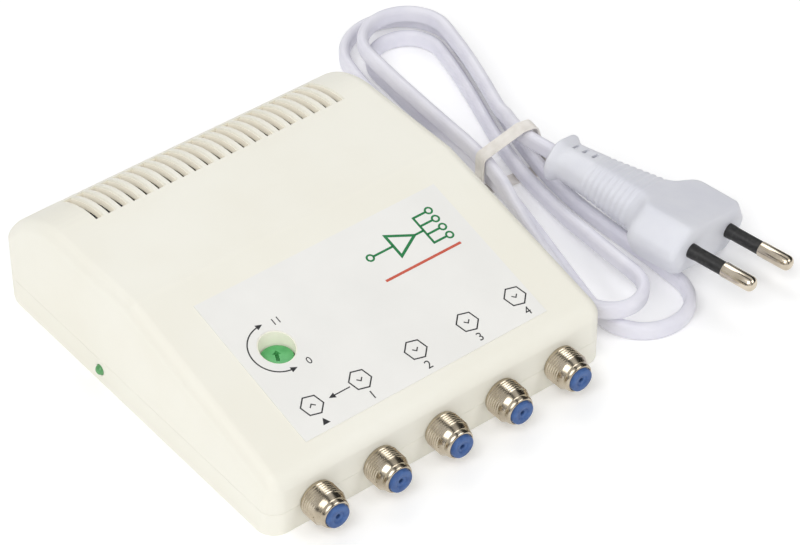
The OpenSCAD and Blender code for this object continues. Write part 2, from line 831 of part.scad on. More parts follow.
// Eight-sided flat tube along a route, its first and last rings square to given directions
module cord_along(route, start, finish) {
    last = len(route) - 1;
    grow = 1 / cos(22.5);
    tube([
        for (i = [0:last])
            let (t = i == 0 ? start : i == last ? finish : unit(route[i + 1] - route[i - 1]))
            cord_ring(route[i], t, 8, 22.5, grow * cord_t / 2, grow * cord_w / 2)
    ]);
}

// Place on the hank's centre line after s turns, along (x), across (y) and up (z)
function hank_local(s) =
    let (
        f = s - floor(s),
        lane = s < turn_back ? s : 2 * turn_back - s,
        w = hank_half_w - lane_step * lane,
        a = hank_reach - reach_step * lane - w,
        q = f < 0.25 ? 180 - 720 * f : f < 0.5 ? 0 : f < 0.75 ? -720 * (f - 0.5) : -180,
        run = f < 0.25 ? a : f < 0.5 ? a - 8 * a * (f - 0.25) : f < 0.75 ? -a : 8 * a * (f - 0.75) - a,
        x = run + w * sin(q),
        waist = exp(-pow((x - waist_at) / waist_spread, 2)),
        part = min(1, max(0, (s - turn_back) / climb_span + 0.5)),
        climb = part * part * (3 - 2 * part),
        past = x - lean_at,
        lean = layer_lean * climb * (1 - past / (abs(past) + lean_soft)) / 2,
        lift = (tie_t + tie_gap) * exp(-pow(x / lift_spread, 2))
    )
    [x, (w - waist_draw * waist) * cos(q) - waist_shift * waist - lean, lie_z + lift + layer_step * climb];

function hank_place(s) =
    let (p = hank_local(s), c = cos(hank_tilt), d = sin(hank_tilt))
    [hank_mid.x + p.x * d + p.y * c, hank_mid.y + p.x * c - p.y * d, p.z];

function hank_way(s) = unit(hank_place(s + 0.002) - hank_place(s - 0.002));

hank_count = round(hank_turns * rings_per_turn);
hank_rings = [
    for (i = [0:hank_count])
        let (s = max(0.002, i / rings_per_turn))
        cord_ring(hank_place(s), hank_way(s), 6, 30, cord_t / 2 / cos(30), cord_w / 2)
];
hank_gap = min([
    for (i = [0:hank_count]) for (j = [i + rings_per_turn / 2:hank_count])
        if (norm(hank_rings[i][0] - hank_rings[j][0]) < 12)
            min([for (p = hank_rings[i]) for (q = hank_rings[j]) norm(p - q)])
]);

module cord_lead() {
    steps = [for (p = lead_steps) [cord_foot.x + p.x, cord_foot.y + p.y, exit_z - p.z * (exit_z - lie_z)]];
    route = concat([[bush_tip_x, cord_exit_y, exit_z]], steps, [hank_place(0.002)]);
    color("#E6E6EC") cord_along(route, [1, 0, 0], hank_way(0.002));
}

module cord_hank() {
    echo(least_gap_in_hank = hank_gap);
    color("#E6E6EC") tube(hank_rings);
}

// Corners of an outline, moved out square to its sides
function widened(outline, d) = [
    for (i = [0:len(outline) - 1])
        let (
            p = outline[i],
            a = unit(p - outline[(i + len(outline) - 1) % len(outline)]),
            b = unit(outline[(i + 1) % len(outline)] - p),
            na = [a.y, -a.x],
            nb = [b.y, -b.x]
        )
        p + d * (na + nb) / (1 + na * nb)
];

// Flat band drawn round the hank's waist, and over the cord that goes to the plug
module hank_tie() {
    side = cord_t / 2 + tie_gap;
    low_run = hank_local(0.375);
    high_run = hank_local(1.875);
    over = plug_steps[2];
    top = over.z + cord_w / 2 + tie_gap + tie_slack;
    outline = [
        [high_run.y - side, tie_t], [low_run.y + side, tie_t], [low_run.y + side, low_run.z + cord_w / 2],
        [over.x + side, top], [over.x - side, top], [high_run.y - side, high_run.z + cord_w / 2 + tie_gap]
    ];
    color("#DAD7CC") translate([hank_mid.x, hank_mid.y, 0]) rotate([0, 0, -hank_tilt])
        translate([0, tie_w / 2, 0]) rotate([90, 0, 0]) linear_extrude(tie_w) difference() {
            polygon(widened(outline, tie_t));
            polygon(outline);
        }
}

// The plug as it lies: face towards -Y, turned, tipped and rolled against the hank
module as_plug_lies() {
    translate(plug_at)
        rotate([0, 0, plug_yaw]) rotate([plug_pitch, 0, 0]) rotate([0, plug_roll, 0]) children();
}

function turned(v, a) = [v.x * cos(a) - v.y * sin(a), v.x * sin(a) + v.y * cos(a)];

// A direction in the plug's own frame, as it lies in the world
function plug_out(v) =
    let (
        r = turned([v.z, v.x], plug_roll),
        p = turned([v.y, r.x], plug_pitch),
        h = turned([r.y, p.x], plug_yaw)
    )
    [h.x, h.y, p.y];

module cord_plug_end() {
    neck_end = plug_at + plug_out([0, plug_l, 0]);
    before = plug_at + plug_out([0, plug_l + cord_w, 0]);
    s = hank_count / rings_per_turn;
    steps = [for (p = plug_steps) [hank_mid.x + p.x, hank_mid.y + p.y, p.z]];
    route = concat([hank_place(s)], steps, [before, neck_end]);
    color("#E6E6EC") cord_along(route, hank_way(s), -plug_out([0, 1, 0]));
}

// Six-sided slice of the plug: half width, half width of the flats, half thickness
module plug_slice(y, half_w, half_flat, half_t) {
    translate([0, y, 0]) rotate([90, 0, 0]) linear_extrude(0.1)
        polygon([[-half_w, 0.8], [-half_flat, half_t], [half_flat, half_t], [half_w, 0.8],
            [half_w, -0.8], [half_flat, -half_t], [-half_flat, -half_t], [-half_w, -0.8]]);
}

module plug_body() {
    collar_at = plug_l - 2.5;
    color("#D6D8DD") as_plug_lies() {
        hull() {
            plug_slice(0.1, 16.4, 12, 6.4);
            plug_slice(1.5, 17.2, 12.7, 6.85);
        }
        hull() {
            plug_slice(1.5, 17.2, 12.7, 6.85);
            plug_slice(13, 17.4, 12.9, 6.9);
        }
        hull() {
            plug_slice(13, 17.4, 12.9, 6.9);
            plug_slice(15.5, 14.5, 10.5, 6.5);
        }
        hull() {
            plug_slice(15.5, 14.5, 10.5, 6.5);
            plug_slice(18, 10.6, 7.5, 6.1);
        }
        hull() {
            plug_slice(18, 10.6, 7.5, 6.1);
            plug_slice(collar_at, 5.5, 3.9, 4.6);
        }
        hull() {
            plug_slice(collar_at, 5.8, 4.1, 4.8);
            plug_slice(plug_l, 7.2, 5.2, 5.8);
        }
    }
}

module plug_pins() {
    color("#C8C6BE") as_plug_lies() for (side = [-1, 1])
        translate([side * pin_pitch / 2, 0, 0]) rotate([90, 0, 0]) {
            cylinder(h = sleeve_l + eps, r = pin_r - sleeve_cut);
            translate([0, 0, sleeve_l]) cylinder(h = pin_l - sleeve_l - pin_r / 2, r = pin_r);
            translate([0, 0, pin_l - pin_r / 2 - eps]) cylinder(h = pin_r / 2, r1 = pin_r, r2 = pin_r / 2);
        }
}

module plug_sleeves() {
    color("#232325") as_plug_lies() for (side = [-1, 1])
        translate([side * pin_pitch / 2, 0, 0]) rotate([90, 0, 0]) difference() {
            cylinder(h = sleeve_l, r = pin_r - sleeve_step);
            translate([0, 0, -1]) cylinder(h = sleeve_l + 2, r = pin_r - sleeve_cut + bore_gap);
        }
}

base_tray();
top_cover();
front_label();
for (i = [0:socket_count - 1]) {
    socket_barrel(i);
    socket_insert(i);
    socket_contact(i);
}
circuit_board();
board_screws();
case_screws();
shield_frame();
shield_lid();
trimmer_body();
trimmer_spindle();
pilot_lamp();
lamp_leads();
transformer_core();
transformer_bobbin();
transformer_winding();
fuse_tube();
fuse_caps();
fuse_clips();
rectifier_diodes();
main_capacitor();
small_capacitors();
voltage_regulator();
heat_sink();
amplifier_chip();
ferrite_rings();
cord_bush();
cord_inner();
cord_clamp();
clamp_screws();
mains_wires();
cord_lead();
cord_hank();
hank_tie();
cord_plug_end();
plug_body();
plug_pins();
plug_sleeves();
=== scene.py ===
# Indoor TV signal amplifier with a hanked mains cord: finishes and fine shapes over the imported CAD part
import json
import math

import bmesh
import bpy
from mathutils import Matrix, Vector
from mathutils.bvhtree import BVHTree


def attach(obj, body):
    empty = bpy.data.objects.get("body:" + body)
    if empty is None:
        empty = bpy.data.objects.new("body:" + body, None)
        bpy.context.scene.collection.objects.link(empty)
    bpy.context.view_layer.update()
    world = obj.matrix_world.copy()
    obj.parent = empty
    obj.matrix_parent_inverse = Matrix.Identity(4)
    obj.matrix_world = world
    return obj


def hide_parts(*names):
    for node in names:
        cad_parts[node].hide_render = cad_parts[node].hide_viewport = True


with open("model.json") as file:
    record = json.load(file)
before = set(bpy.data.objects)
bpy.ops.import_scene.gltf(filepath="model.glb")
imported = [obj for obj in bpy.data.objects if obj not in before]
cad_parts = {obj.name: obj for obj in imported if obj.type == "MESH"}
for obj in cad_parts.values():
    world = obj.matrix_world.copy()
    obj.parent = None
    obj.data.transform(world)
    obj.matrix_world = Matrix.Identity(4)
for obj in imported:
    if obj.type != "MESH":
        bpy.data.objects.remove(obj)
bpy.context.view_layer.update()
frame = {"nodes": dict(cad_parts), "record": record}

# Camera: stands off the corner of the input socket, above and to the left, with a long lens,
# at the photograph's viewing angle.
camera = bpy.data.objects.new("camera", bpy.data.cameras.new("camera"))
camera.data.lens = 144
camera.data.sensor_width = 36
camera.location = (-0.33857, -0.46771, 0.52162)
camera.rotation_euler = (math.radians(48.72), 0, math.radians(-38.37))
bpy.context.scene.collection.objects.link(camera)
bpy.context.scene.camera = camera

# Mains cord: a flat two-core lead, extruded in soft white PVC with a cool cast. It leaves the bush in
# the right wall, drops to the table, stands on edge there and is folded into a hank of two and a third turns.
mm = 0.001
cord_w = 4.8
cord_t = 3.0
exit_z = 6.6
lie_z = 2.45
bush_tip = Vector((52.774, 26, exit_z))
cord_foot = Vector((50, 26, 0))
lead_steps = [
    (4.5, 0, 0), (8.3, 0.7, 0.1), (11.6, 2.8, 0.27), (13.8, 6, 0.46), (14.8, 9.8, 0.65),
    (15.1, 14, 0.82), (15.4, 20, 0.96), (16.2, 27, 1), (17.3, 34.5, 1),
]
hank_mid = cord_foot + Vector((26.4, -18, 0))
hank_tilt = math.radians(8.2)
hank_turns = 56 / 24
hank_points = 48
plug_steps = [(6.8, 12.5, 8.9), (4.5, 7.3, 10.5), (2.2, 0, 12.9), (1.7, -3.6, 13.7)]
plug_l = 46
plug_place = Matrix.Translation(hank_mid + Vector((13.5, -56.7, 10.3))) @ (
    Matrix.Rotation(math.radians(13), 4, "Z") @ Matrix.Rotation(math.radians(4), 4, "X")
    @ Matrix.Rotation(math.radians(17), 4, "Y"))


def hank_local(turn):
    half_w, reach, lane_step, reach_step = 16.4, 74, 5.2, 9
    turn_back, climb_span, layer_step, layer_lean = 1.44, 0.11, 5.5, 8
    waist_draw, waist_shift, waist_at, waist_span = 6.7, 2.5, -5, 40
    lean_at, lean_span, band_rise, rise_span = -15, 20, 0.9, 14
    part = turn - math.floor(turn)
    lane = turn if turn < turn_back else 2 * turn_back - turn
    w = half_w - lane_step * lane
    straight = reach - reach_step * lane - w
    if part < 0.25:
        bend, run = 180 - 720 * part, straight
    elif part < 0.5:
        bend, run = 0, straight - 8 * straight * (part - 0.25)
    elif part < 0.75:
        bend, run = -720 * (part - 0.5), -straight
    else:
        bend, run = -180, 8 * straight * (part - 0.75) - straight
    x = run + w * math.sin(math.radians(bend))
    waist = math.exp(-((x - waist_at) / waist_span) ** 2)
    share = min(1, max(0, (turn - turn_back) / climb_span + 0.5))
    climb = share * share * (3 - 2 * share)
    past = x - lean_at
    lean = layer_lean * climb * (1 - past / (abs(past) + lean_span)) / 2
    y = (w - waist_draw * waist) * math.cos(math.radians(bend)) - waist_shift * waist - lean
    z = lie_z + band_rise * math.exp(-(x / rise_span) ** 2) + layer_step * climb
    return Vector((x, y, z))


def hank_place(turn):
    x, y, z = hank_local(turn)
    c, s = math.cos(hank_tilt), math.sin(hank_tilt)
    return hank_mid + Vector((x * s + y * c, x * c - y * s, z))


def smooth_route(points, steps):
    ends = [2 * points[0] - points[1], *points, 2 * points[-1] - points[-2]]
    route = []
    for a, b, c, d in zip(ends, ends[1:], ends[2:], ends[3:]):
        for k in range(steps):
            t = k / steps
            route.append(b + (c - a) * (t / 2) + (2 * a - 5 * b + 4 * c - d) * (t * t / 2)
                         + (3 * b - a - 3 * c + d) * (t ** 3 / 2))
    return [*route, points[-1]]


def skin(name, rings, reach=None):
    count = len(rings[0])
    corners = [p * mm for ring in rings for p in ring]
    faces = []
    for i in range(len(rings) - 1):
        for j in range(count):
            k = (j + 1) % count
            faces.append((i * count + j, i * count + k, (i + 1) * count + k, (i + 1) * count + j))
    faces.append(tuple(reversed(range(count))))
    faces.append(tuple(range(len(corners) - count, len(corners))))
    mesh = bpy.data.meshes.new(name)
    mesh.from_pydata(corners, [], faces)
    if reach:
        layer = mesh.uv_layers.new(name="cord")
        for face in mesh.polygons:
            wraps = face.index % count == count - 1
            for loop in face.loop_indices:
                ring, j = divmod(mesh.loops[loop].vertex_index, count)
                around = 1 if wraps and j == 0 else j / count
                layer.data[loop].uv = (reach[ring], around)
    return placed(name, mesh)


def creased(mesh, angle=38):
    mesh.shade_smooth()
    mesh.set_sharp_from_angle(angle=math.radians(angle))


def placed(name, mesh, crease=38):
    form = bmesh.new()
    form.from_mesh(mesh)
    bmesh.ops.recalc_face_normals(form, faces=form.faces)
    form.to_mesh(mesh)
    form.free()
    creased(mesh, crease)
    piece = bpy.data.objects.new(name, mesh)
    bpy.context.scene.collection.objects.link(piece)
    return piece


class Wire:
    """A node's socket: operators on it add Math nodes, and add() brings in any other node."""

    def __init__(self, tree, socket=None):
        self.tree = tree
        self.socket = socket

    def add(self, kind, settings=None, values=None, output=0):
        made = self.tree.nodes.new(kind)
        for name, value in (settings or {}).items():
            setattr(made, name, value)
        for key, value in (values or {}).items():
            if isinstance(value, (Wire, list)):
                for wire in value if isinstance(value, list) else [value]:
                    self.tree.links.new(wire.socket, made.inputs[key])
            else:
                made.inputs[key].default_value = value
        return Wire(self.tree, made.outputs[output])

    def sum(self, operation, *values):
        return self.add("ShaderNodeMath", {"operation": operation}, dict(enumerate(values)))

    def __add__(self, other):
        return self.sum("ADD", self, other)

    def __sub__(self, other):
        return self.sum("SUBTRACT", self, other)

    def __rsub__(self, other):
        return self.sum("SUBTRACT", other, self)

    def __mul__(self, other):
        return self.sum("MULTIPLY", self, other)

    def __truediv__(self, other):
        return self.sum("DIVIDE", self, other)

    __radd__ = __add__
    __rmul__ = __mul__

    def sine(self):
        return self.sum("SINE", self)

    def step(self, low, high):
        return self.add("ShaderNodeMapRange", {"interpolation_type": "SMOOTHSTEP"},
                        {0: self, 1: low, 2: high})

    def colour(self, first, second):
        return self.add("ShaderNodeMix", {"data_type": "RGBA"}, {0: self, 6: first, 7: second}, 2)


def linear(red, green, blue):
    channels = [(c / 255 + 0.055) / 1.055 if c > 10 else 0 for c in (red, green, blue)]
    return (*[c ** 2.4 for c in channels], 1)


class Finish:
    """A material in the making: its wire, its Object coordinates and its shader's sockets."""

    def __init__(self, name, **sockets):
        self.material = bpy.data.materials.new(name)
        self.material.use_nodes = True
        self.shader = self.material.node_tree.nodes["Principled BSDF"]
        self.wire = Wire(self.material.node_tree)
        self.place = self.wire.add("ShaderNodeTexCoord", output="Object")
        self.set(**sockets)

    def set(self, **sockets):
        for name, value in sockets.items():
            socket = self.shader.inputs[name.replace("_", " ")]
            if isinstance(value, Wire):
                self.material.node_tree.links.new(value.socket, socket)
            else:
                socket.default_value = value

    def noise(self, size, detail=3, place=None):
        return self.wire.add("ShaderNodeTexNoise", None,
                             {"Vector": place or self.place, "Scale": 1 / (size * mm), "Detail": detail})

    def bump(self, height, depth):
        return self.wire.add("ShaderNodeBump", None,
                             {"Height": height, "Strength": 1, "Distance": depth * mm})


def cord_finish():
    made = Finish("cord_sheath", IOR=1.5, Specular_IOR_Level=0.45)
    sheath_lines, waves_a_metre = 14, 900
    lay = made.wire.add("ShaderNodeUVMap", {"uv_map": "cord"})
    along, around = [made.wire.add("ShaderNodeSeparateXYZ", None, {0: lay}, i) for i in range(2)]
    lines = (around * (math.tau * sheath_lines)).sine()
    clouds = made.noise(9)
    handling = made.noise(1.4, 4)
    waves = (along * waves_a_metre).sine() * clouds
    made.set(Base_Color=clouds.step(0.35, 0.7).colour(linear(231, 230, 238), linear(224, 223, 233)),
             Roughness=0.34 + handling * 0.22,
             Normal=made.bump(lines * 0.25 + handling + waves * 0.2, 0.05))
    return made.material


def flat_ring(centre, way, count=28):
    across = Vector((way.y, -way.x, 0)).normalized()
    up = across.cross(way)
    round_r = cord_t / 2
    ring = []
    for j in range(count):
        a = 2 * math.pi * (j + 0.5) / count
        lift = math.copysign(cord_w / 2 - round_r, math.sin(a))
        ring.append(centre + across * (round_r * math.cos(a)) + up * (round_r * math.sin(a) + lift))
    return ring


neck_end = plug_place @ Vector((0, plug_l, 0))
neck_way = plug_place.to_3x3() @ Vector((0, 1, 0))
cord_points = [bush_tip]
cord_points += [cord_foot + Vector((x, y, exit_z - down * (exit_z - lie_z))) for x, y, down in lead_steps]
cord_points += [hank_place(max(0.002, i / hank_points)) for i in range(round(hank_turns * hank_points) + 1)]
cord_points += [Vector((hank_mid.x + x, hank_mid.y + y, z)) for x, y, z in plug_steps]
cord_points += [neck_end + neck_way * cord_w, neck_end - neck_way * 2]
cord_route = smooth_route(cord_points, 4)
cord_ways = [(b - a).normalized() for a, b in zip([cord_route[0], *cord_route],
                                                  [*cord_route[1:], cord_route[-1]])]
cord_reach = [0]
for a, b in zip(cord_route, cord_route[1:]):
    cord_reach.append(cord_reach[-1] + (b - a).length * mm)
mains_cord = skin("mains_cord", [flat_ring(p, w) for p, w in zip(cord_route, cord_ways)], cord_reach)
mains_cord.data.materials.append(cord_finish())
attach(mains_cord, "housing")
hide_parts("cord_lead", "cord_hank", "cord_plug_end")

# Band round the hank: a flat strip of soft cream plastic, welded into a loop and slipped over the
# folded cord at its waist. It runs over the top of the cord that goes to the plug.
band_w = 4.0
band_t = 0.6
band_slack = 0.6
band_gap = 0.3
band_round = 1.5
band_bend_steps = 8
band_edge, band_skin = 0.2, 0.02


def mottled(name, pale, dull, clouds, grain, depth, rough, vary, spread=(0.3, 0.75), **sockets):
    made = Finish(name, **sockets)
    mottle = made.noise(*clouds)
    relief = made.noise(*grain) if grain else mottle
    made.set(Base_Color=mottle.step(*spread).colour(linear(*pale), linear(*dull)),
             Roughness=rough + mottle * vary, Normal=made.bump(relief, depth))
    return made.material


def band_loop(offset):
    side = cord_t / 2 + band_gap
    low_run, high_run, over = hank_local(0.375), hank_local(1.875), Vector(plug_steps[2])
    top = over.z + cord_w / 2 + band_gap + band_slack
    corners = [Vector(p) for p in (
        (high_run.y - side, band_t), (low_run.y + side, band_t), (low_run.y + side, low_run.z + cord_w / 2),
        (over.x + side, top), (over.x - side, top), (high_run.y - side, high_run.z + cord_w / 2 + band_gap))]
    points = []
    for before, corner, after in zip([corners[-1], *corners], corners, [*corners[1:], corners[0]]):
        into, out = (corner - before).normalized(), (after - corner).normalized()
        first, last = Vector((into.y, -into.x)), Vector((out.y, -out.x))
        centre = corner - (first + last) * band_round / (1 + first.dot(last))
        for k in range(band_bend_steps + 1):
            way = (first * (band_bend_steps - k) + last * k).normalized()
            place = centre + way * (band_round + offset)
            points.append(Vector((place.x, 0, place.y)))
    return points


half_band = band_w / 2
band_section = [
    (band_edge - half_band, band_skin), (half_band - band_edge, band_skin), (half_band, band_edge),
    (half_band, band_t - band_edge), (half_band - band_edge, band_t - band_skin),
    (band_edge - half_band, band_t - band_skin), (-half_band, band_t - band_edge), (-half_band, band_edge),
]
band_turn = Matrix.Translation(hank_mid) @ Matrix.Rotation(-hank_tilt, 4, "Z")
band_rows = [[band_turn @ (p + Vector((0, y, 0))) for p in band_loop(out)] for y, out in band_section]
band_form = bmesh.new()
band_verts = [[band_form.verts.new(p * mm) for p in row] for row in band_rows]
for row, after in zip(band_verts, [*band_verts[1:], band_verts[0]]):
    for i in range(len(row)):
        k = (i + 1) % len(row)
        band_form.faces.new((row[i], row[k], after[k], after[i]))
band_mesh = bpy.data.meshes.new("cord_band")
band_form.to_mesh(band_mesh)
band_form.free()
cord_band = placed("cord_band", band_mesh)
band_plastic = mottled("band_plastic", (236, 232, 226), (225, 220, 213), (2.5, 4), (0.25, 2), 0.02, 0.48,
                       0.15, Specular_IOR_Level=0.4)
cord_band.data.materials.append(band_plastic)
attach(cord_band, "housing")
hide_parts("hank_tie")

# Plug: moulded round the cord in the cord's own white plastic, with a flat six-sided body, a ribbed
# grip, a flange to pull on and three slits that let the neck bend.
plug_stations = [
    (0.0, 15.6, 11.2, 5.7, 1.2), (0.3, 16.3, 11.9, 6.3, 1.4), (0.9, 16.8, 12.3, 6.65, 1.6),
    (1.6, 17.1, 12.6, 6.85, 1.7), (7, 17.2, 12.7, 6.87, 1.7), (11.8, 17.3, 12.8, 6.9, 1.8),
    (13.2, 17.0, 12.6, 6.88, 2.0), (14.1, 16.2, 12.0, 6.78, 2.4), (14.9, 14.9, 11.0, 6.6, 2.8),
    (15.8, 13.2, 9.6, 6.4, 3.3), (17, 11.5, 8.2, 6.2, 3.8), (18.5, 10.4, 7.4, 6.1, 4),
    (24, 9.2, 6.5, 5.8, 4.2), (30, 7.9, 5.6, 5.4, 4.2), (36, 6.8, 4.8, 5.0, 4), (41, 5.9, 4.2, 4.75, 3.8),
    (43, 5.8, 4.1, 4.7, 3.8), (44, 6.5, 4.7, 5.3, 4.2), (44.7, 7.1, 5.1, 5.75, 4.4),
    (45.4, 7.2, 5.2, 5.8, 4.4), (45.8, 6.9, 5.0, 5.5, 4.2), (46, 6.2, 4.5, 4.9, 3.8),
]
plug_side_flat = 0.8
rib_from, rib_to, rib_pitch, rib_depth, rib_fade, rib_step = 17.5, 35.5, 1.8, 0.26, 1.5, 0.25
slit_y, slit_half_w, slit_half_t, slit_floor = (36.4, 39.3, 42.2), 1.4, 0.42, 2.6


def rounded_section(half_w, half_flat, half_t, radius, count=64):
    corners = [Vector((sx * x, sz * z)) for x, z in ((half_w, plug_side_flat), (half_flat, half_t))
               for sx in (-1, 1) for sz in (-1, 1)]
    shrink_w, shrink_t = 1 - radius / half_w, 1 - radius / half_t
    core = [Vector((p.x * shrink_w, p.y * shrink_t)) for p in corners]
    ring = []
    for j in range(count):
        a = 2 * math.pi * (j + 0.5) / count
        out = Vector((math.cos(a), math.sin(a)))
        ring.append(max(core, key=out.dot) + out * radius)
    return ring


def even_section(half_w, half_flat, half_t, radius, count=64):
    fine = rounded_section(half_w, half_flat, half_t, radius, 8 * count)
    fine.append(fine[0])
    reach = [0]
    for a, b in zip(fine, fine[1:]):
        reach.append(reach[-1] + (b - a).length)
    ring, k = [], 0
    for j in range(count):
        goal = reach[-1] * j / count
        while reach[k + 1] <= goal:
            k += 1
        ring.append(fine[k].lerp(fine[k + 1], (goal - reach[k]) / (reach[k + 1] - reach[k])))
    return ring


def plug_ring(y):
    for a, b in zip(plug_stations, plug_stations[1:]):
        if a[0] <= y <= b[0]:
            t = (y - a[0]) / (b[0] - a[0])
            sizes = [p + (q - p) * t for p, q in zip(a[1:], b[1:])]
    fade = min(1, max(0, (y - rib_from) / rib_fade), max(0, (rib_to - y) / rib_fade))
    rib = rib_depth * fade * (0.5 + 0.5 * math.cos(2 * math.pi * (y - rib_from) / rib_pitch))
    ring = even_section(sizes[0] - rib, sizes[1] - rib, sizes[2] - rib, sizes[3])
    return [plug_place @ Vector((p.x, y, p.y)) for p in ring]


rib_y = {rib_from + rib_step * k for k in range(round((rib_to - rib_from) / rib_step))}
plug_y = sorted({s[0] for s in plug_stations} | rib_y)
plug_shell = skin("plug_shell", [plug_ring(y) for y in plug_y])
plug_plastic = mottled("plug_plastic", (226, 227, 233), (219, 220, 228), (12, 3), (0.35, 3), 0.025, 0.4, 0.14,
                       (0.3, 0.7), Specular_IOR_Level=0.42)
plug_shell.data.materials.append(plug_plastic)


def carved(piece, cutters, operation="DIFFERENCE"):
    for cutter in cutters:
        cut = piece.modifiers.new("cut", "BOOLEAN")
        cut.object = cutter
        cut.operation = operation
        cut.solver = "EXACT"
    seen = piece.evaluated_get(bpy.context.evaluated_depsgraph_get())
    mesh = bpy.data.meshes.new_from_object(seen)
    piece.modifiers.clear()
    piece.data = mesh
    for cutter in cutters:
        bpy.data.objects.remove(cutter)
    return piece


def block(name, low, high, place=None):
    place = place or Matrix.Identity(4)
    ring = [(low[0], low[1]), (high[0], low[1]), (high[0], high[1]), (low[0], high[1])]
    return skin(name, [[place @ Vector((x, y, z)) for x, y in ring] for z in (low[2], high[2])])


slits = [block("slit", (-slit_half_w, y - slit_half_t, slit_floor),
               (slit_half_w, y + slit_half_t, 9), plug_place) for y in slit_y]
carved(plug_shell, slits)
creased(plug_shell.data)
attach(plug_shell, "housing")
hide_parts("plug_body")

# Pins of the plug: brass rod, turned to a round tip and nickel plated. A black sleeve is moulded round
# the half of each that is next to the plug's face.
pin_r, pin_l, pin_pitch, pin_core_r = 2.0, 19.0, 18.0, 1.1
sleeve_l, sleeve_r, sleeve_bore_r = 10.0, 1.8, 1.25


def turned(name, profile, place, sides=48):
    angles = [2 * math.pi * j / sides for j in range(sides)]
    return skin(name, [[place @ Vector((radius * math.cos(a), radius * math.sin(a), height)) for a in angles]
                       for radius, height in profile])


def mesh_of(piece):
    mesh = piece.data
    bpy.data.objects.remove(piece)
    return mesh


def together(name, pieces):
    form = bmesh.new()
    for piece in pieces:
        form.from_mesh(mesh_of(piece))
    mesh = bpy.data.meshes.new(name)
    form.to_mesh(mesh)
    form.free()
    return placed(name, mesh)


def rounding(radius, height, bend, steps=6):
    return [(radius - bend + bend * math.cos(math.pi / 2 * k / steps),
             height - bend + bend * math.sin(math.pi / 2 * k / steps)) for k in range(steps + 1)]


pin_turn = Matrix.Rotation(math.pi / 2, 4, "X")
pin_ways = [plug_place @ Matrix.Translation((side * pin_pitch / 2, 0, 0)) @ pin_turn for side in (-1, 1)]
pin_profile = [(pin_core_r, -2), (pin_core_r, sleeve_l - 0.2), (pin_r - 0.15, sleeve_l - 0.2),
               (pin_r, sleeve_l)] + rounding(pin_r, pin_l, pin_r * 0.8, 10)
plug_pins = together("pins_nickel", [turned("pin", pin_profile, way) for way in pin_ways])
pin_plate = mottled("pin_plate", (222, 211, 193), (200, 188, 168), (3, 4), (0.3, 2), 0.004, 0.1, 0.12,
                    Metallic=1.0)
plug_pins.data.materials.append(pin_plate)
sleeve_profile = [(sleeve_bore_r, -1), (sleeve_r + 0.12, -1), (sleeve_r + 0.1, 1.2), (sleeve_r, 2.2),
                  (sleeve_r, sleeve_l - 0.25), (sleeve_r - 0.1, sleeve_l - 0.22),
                  (sleeve_bore_r, sleeve_l - 0.21)]
sleeves = together("sleeves_black", [turned("sleeve", sleeve_profile, way) for way in pin_ways])
sleeve_plastic = mottled("sleeve_plastic", (30, 30, 30), (54, 53, 52), (0.8, 4), None, 0.015, 0.35, 0.2,
                         (0.45, 0.8), Specular_IOR_Level=0.5)
sleeves.data.materials.append(sleeve_plastic)
for piece, node, finish in ((plug_pins, "plug_pins", "nickel"), (sleeves, "plug_sleeves", "black_plastic")):
    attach(piece, "housing")
    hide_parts(node)
[p * mm for p in cord_route]

# Cord bush: a short stepped ring of soft white plastic, pressed into the right wall where the two
# halves of the case meet. The cord passes through it and is clamped inside.
wall_foot, wall_lean, wall_rise = 50, 2, 31
side_at_exit = wall_foot - wall_lean * exit_z / wall_rise
bush_way = Matrix.Translation((0, cord_foot.y, exit_z)) @ Matrix.Rotation(math.pi / 2, 4, "Y")
bush_profile = [(2.4, -5.6), (4.3, -5.6), (4.4, -5.3), (4.4, -4.4), (3.6, -4.3), (3.6, 0.6), (4.15, 0.6),
                (4.4, 0.8), (4.4, 1.3), (4.2, 1.6), (3.25, 1.65), (3.15, 2.8), (2.9, 3.15), (2.4, 3.2)]
bush_profile = [(radius, side_at_exit + out) for radius, out in bush_profile]
bush_ring = turned("bush_ring", bush_profile, bush_way)
bush_ring.data.materials.append(plug_plastic)
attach(bush_ring, "housing")
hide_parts("cord_bush")

# Case: two shells of cream plastic, injection moulded with a fine satin grain. They meet at the height of
# the sockets' axes and are held by four screws from below. All outer edges are rounded.
case_w, case_d, case_h, front_h, ridge_back = 100, 112, 31, 16.5, 56
side_draft, front_edge_r, rear_r, front_corner_r, rear_corner_r = 2, 5, 25, 5, 10
wall, floor_t, lip_inset, seam_z, seam_gap = 2.2, 2.0, 3.55, 6.6, 0.08
edge_round, facet_deg, core_foot = 3.2, 5, -20
slot_count, slot_pitch, slot_w, slot_from, slot_to, slot_shift = 21, 3.6, 1.7, 30.5, 44.5, 0.9
trim_at = Vector((-25.2, -26.4, 0))
guide_r, hole_r, guide_below, head_top = 5.6, 4.4, 1.1, 21.464
socket_pitch, row_shift, neck_hole_r = 18, -0.8, 4.45
socket_x = [row_shift + socket_pitch * (i - 2) for i in range(5)]
lamp_at = Vector((0, 11.6, 3.65))
lamp_hole_r, bush_hole_r = 1.5, 3.7
screw_x, screw_front, screw_rear, screw_recess_r, screw_recess_h = 42.5, -36, 40, 3.1, 3.2
front_y, rear_y = -case_d / 2, case_d / 2
slope = (case_h - front_h) / ridge_back
slope_a = math.atan(slope)
slope_k = math.sqrt(1 + slope * slope)


def trimmed(form, point, out):
    cut = bmesh.ops.bisect_plane(form, geom=[*form.verts, *form.edges, *form.faces], dist=1e-6,
                                 plane_co=point, plane_no=out, clear_outer=True)
    rim = [e for e in cut["geom_cut"] if isinstance(e, bmesh.types.BMEdge)]
    if rim:
        bmesh.ops.edgeloop_fill(form, edges=rim)


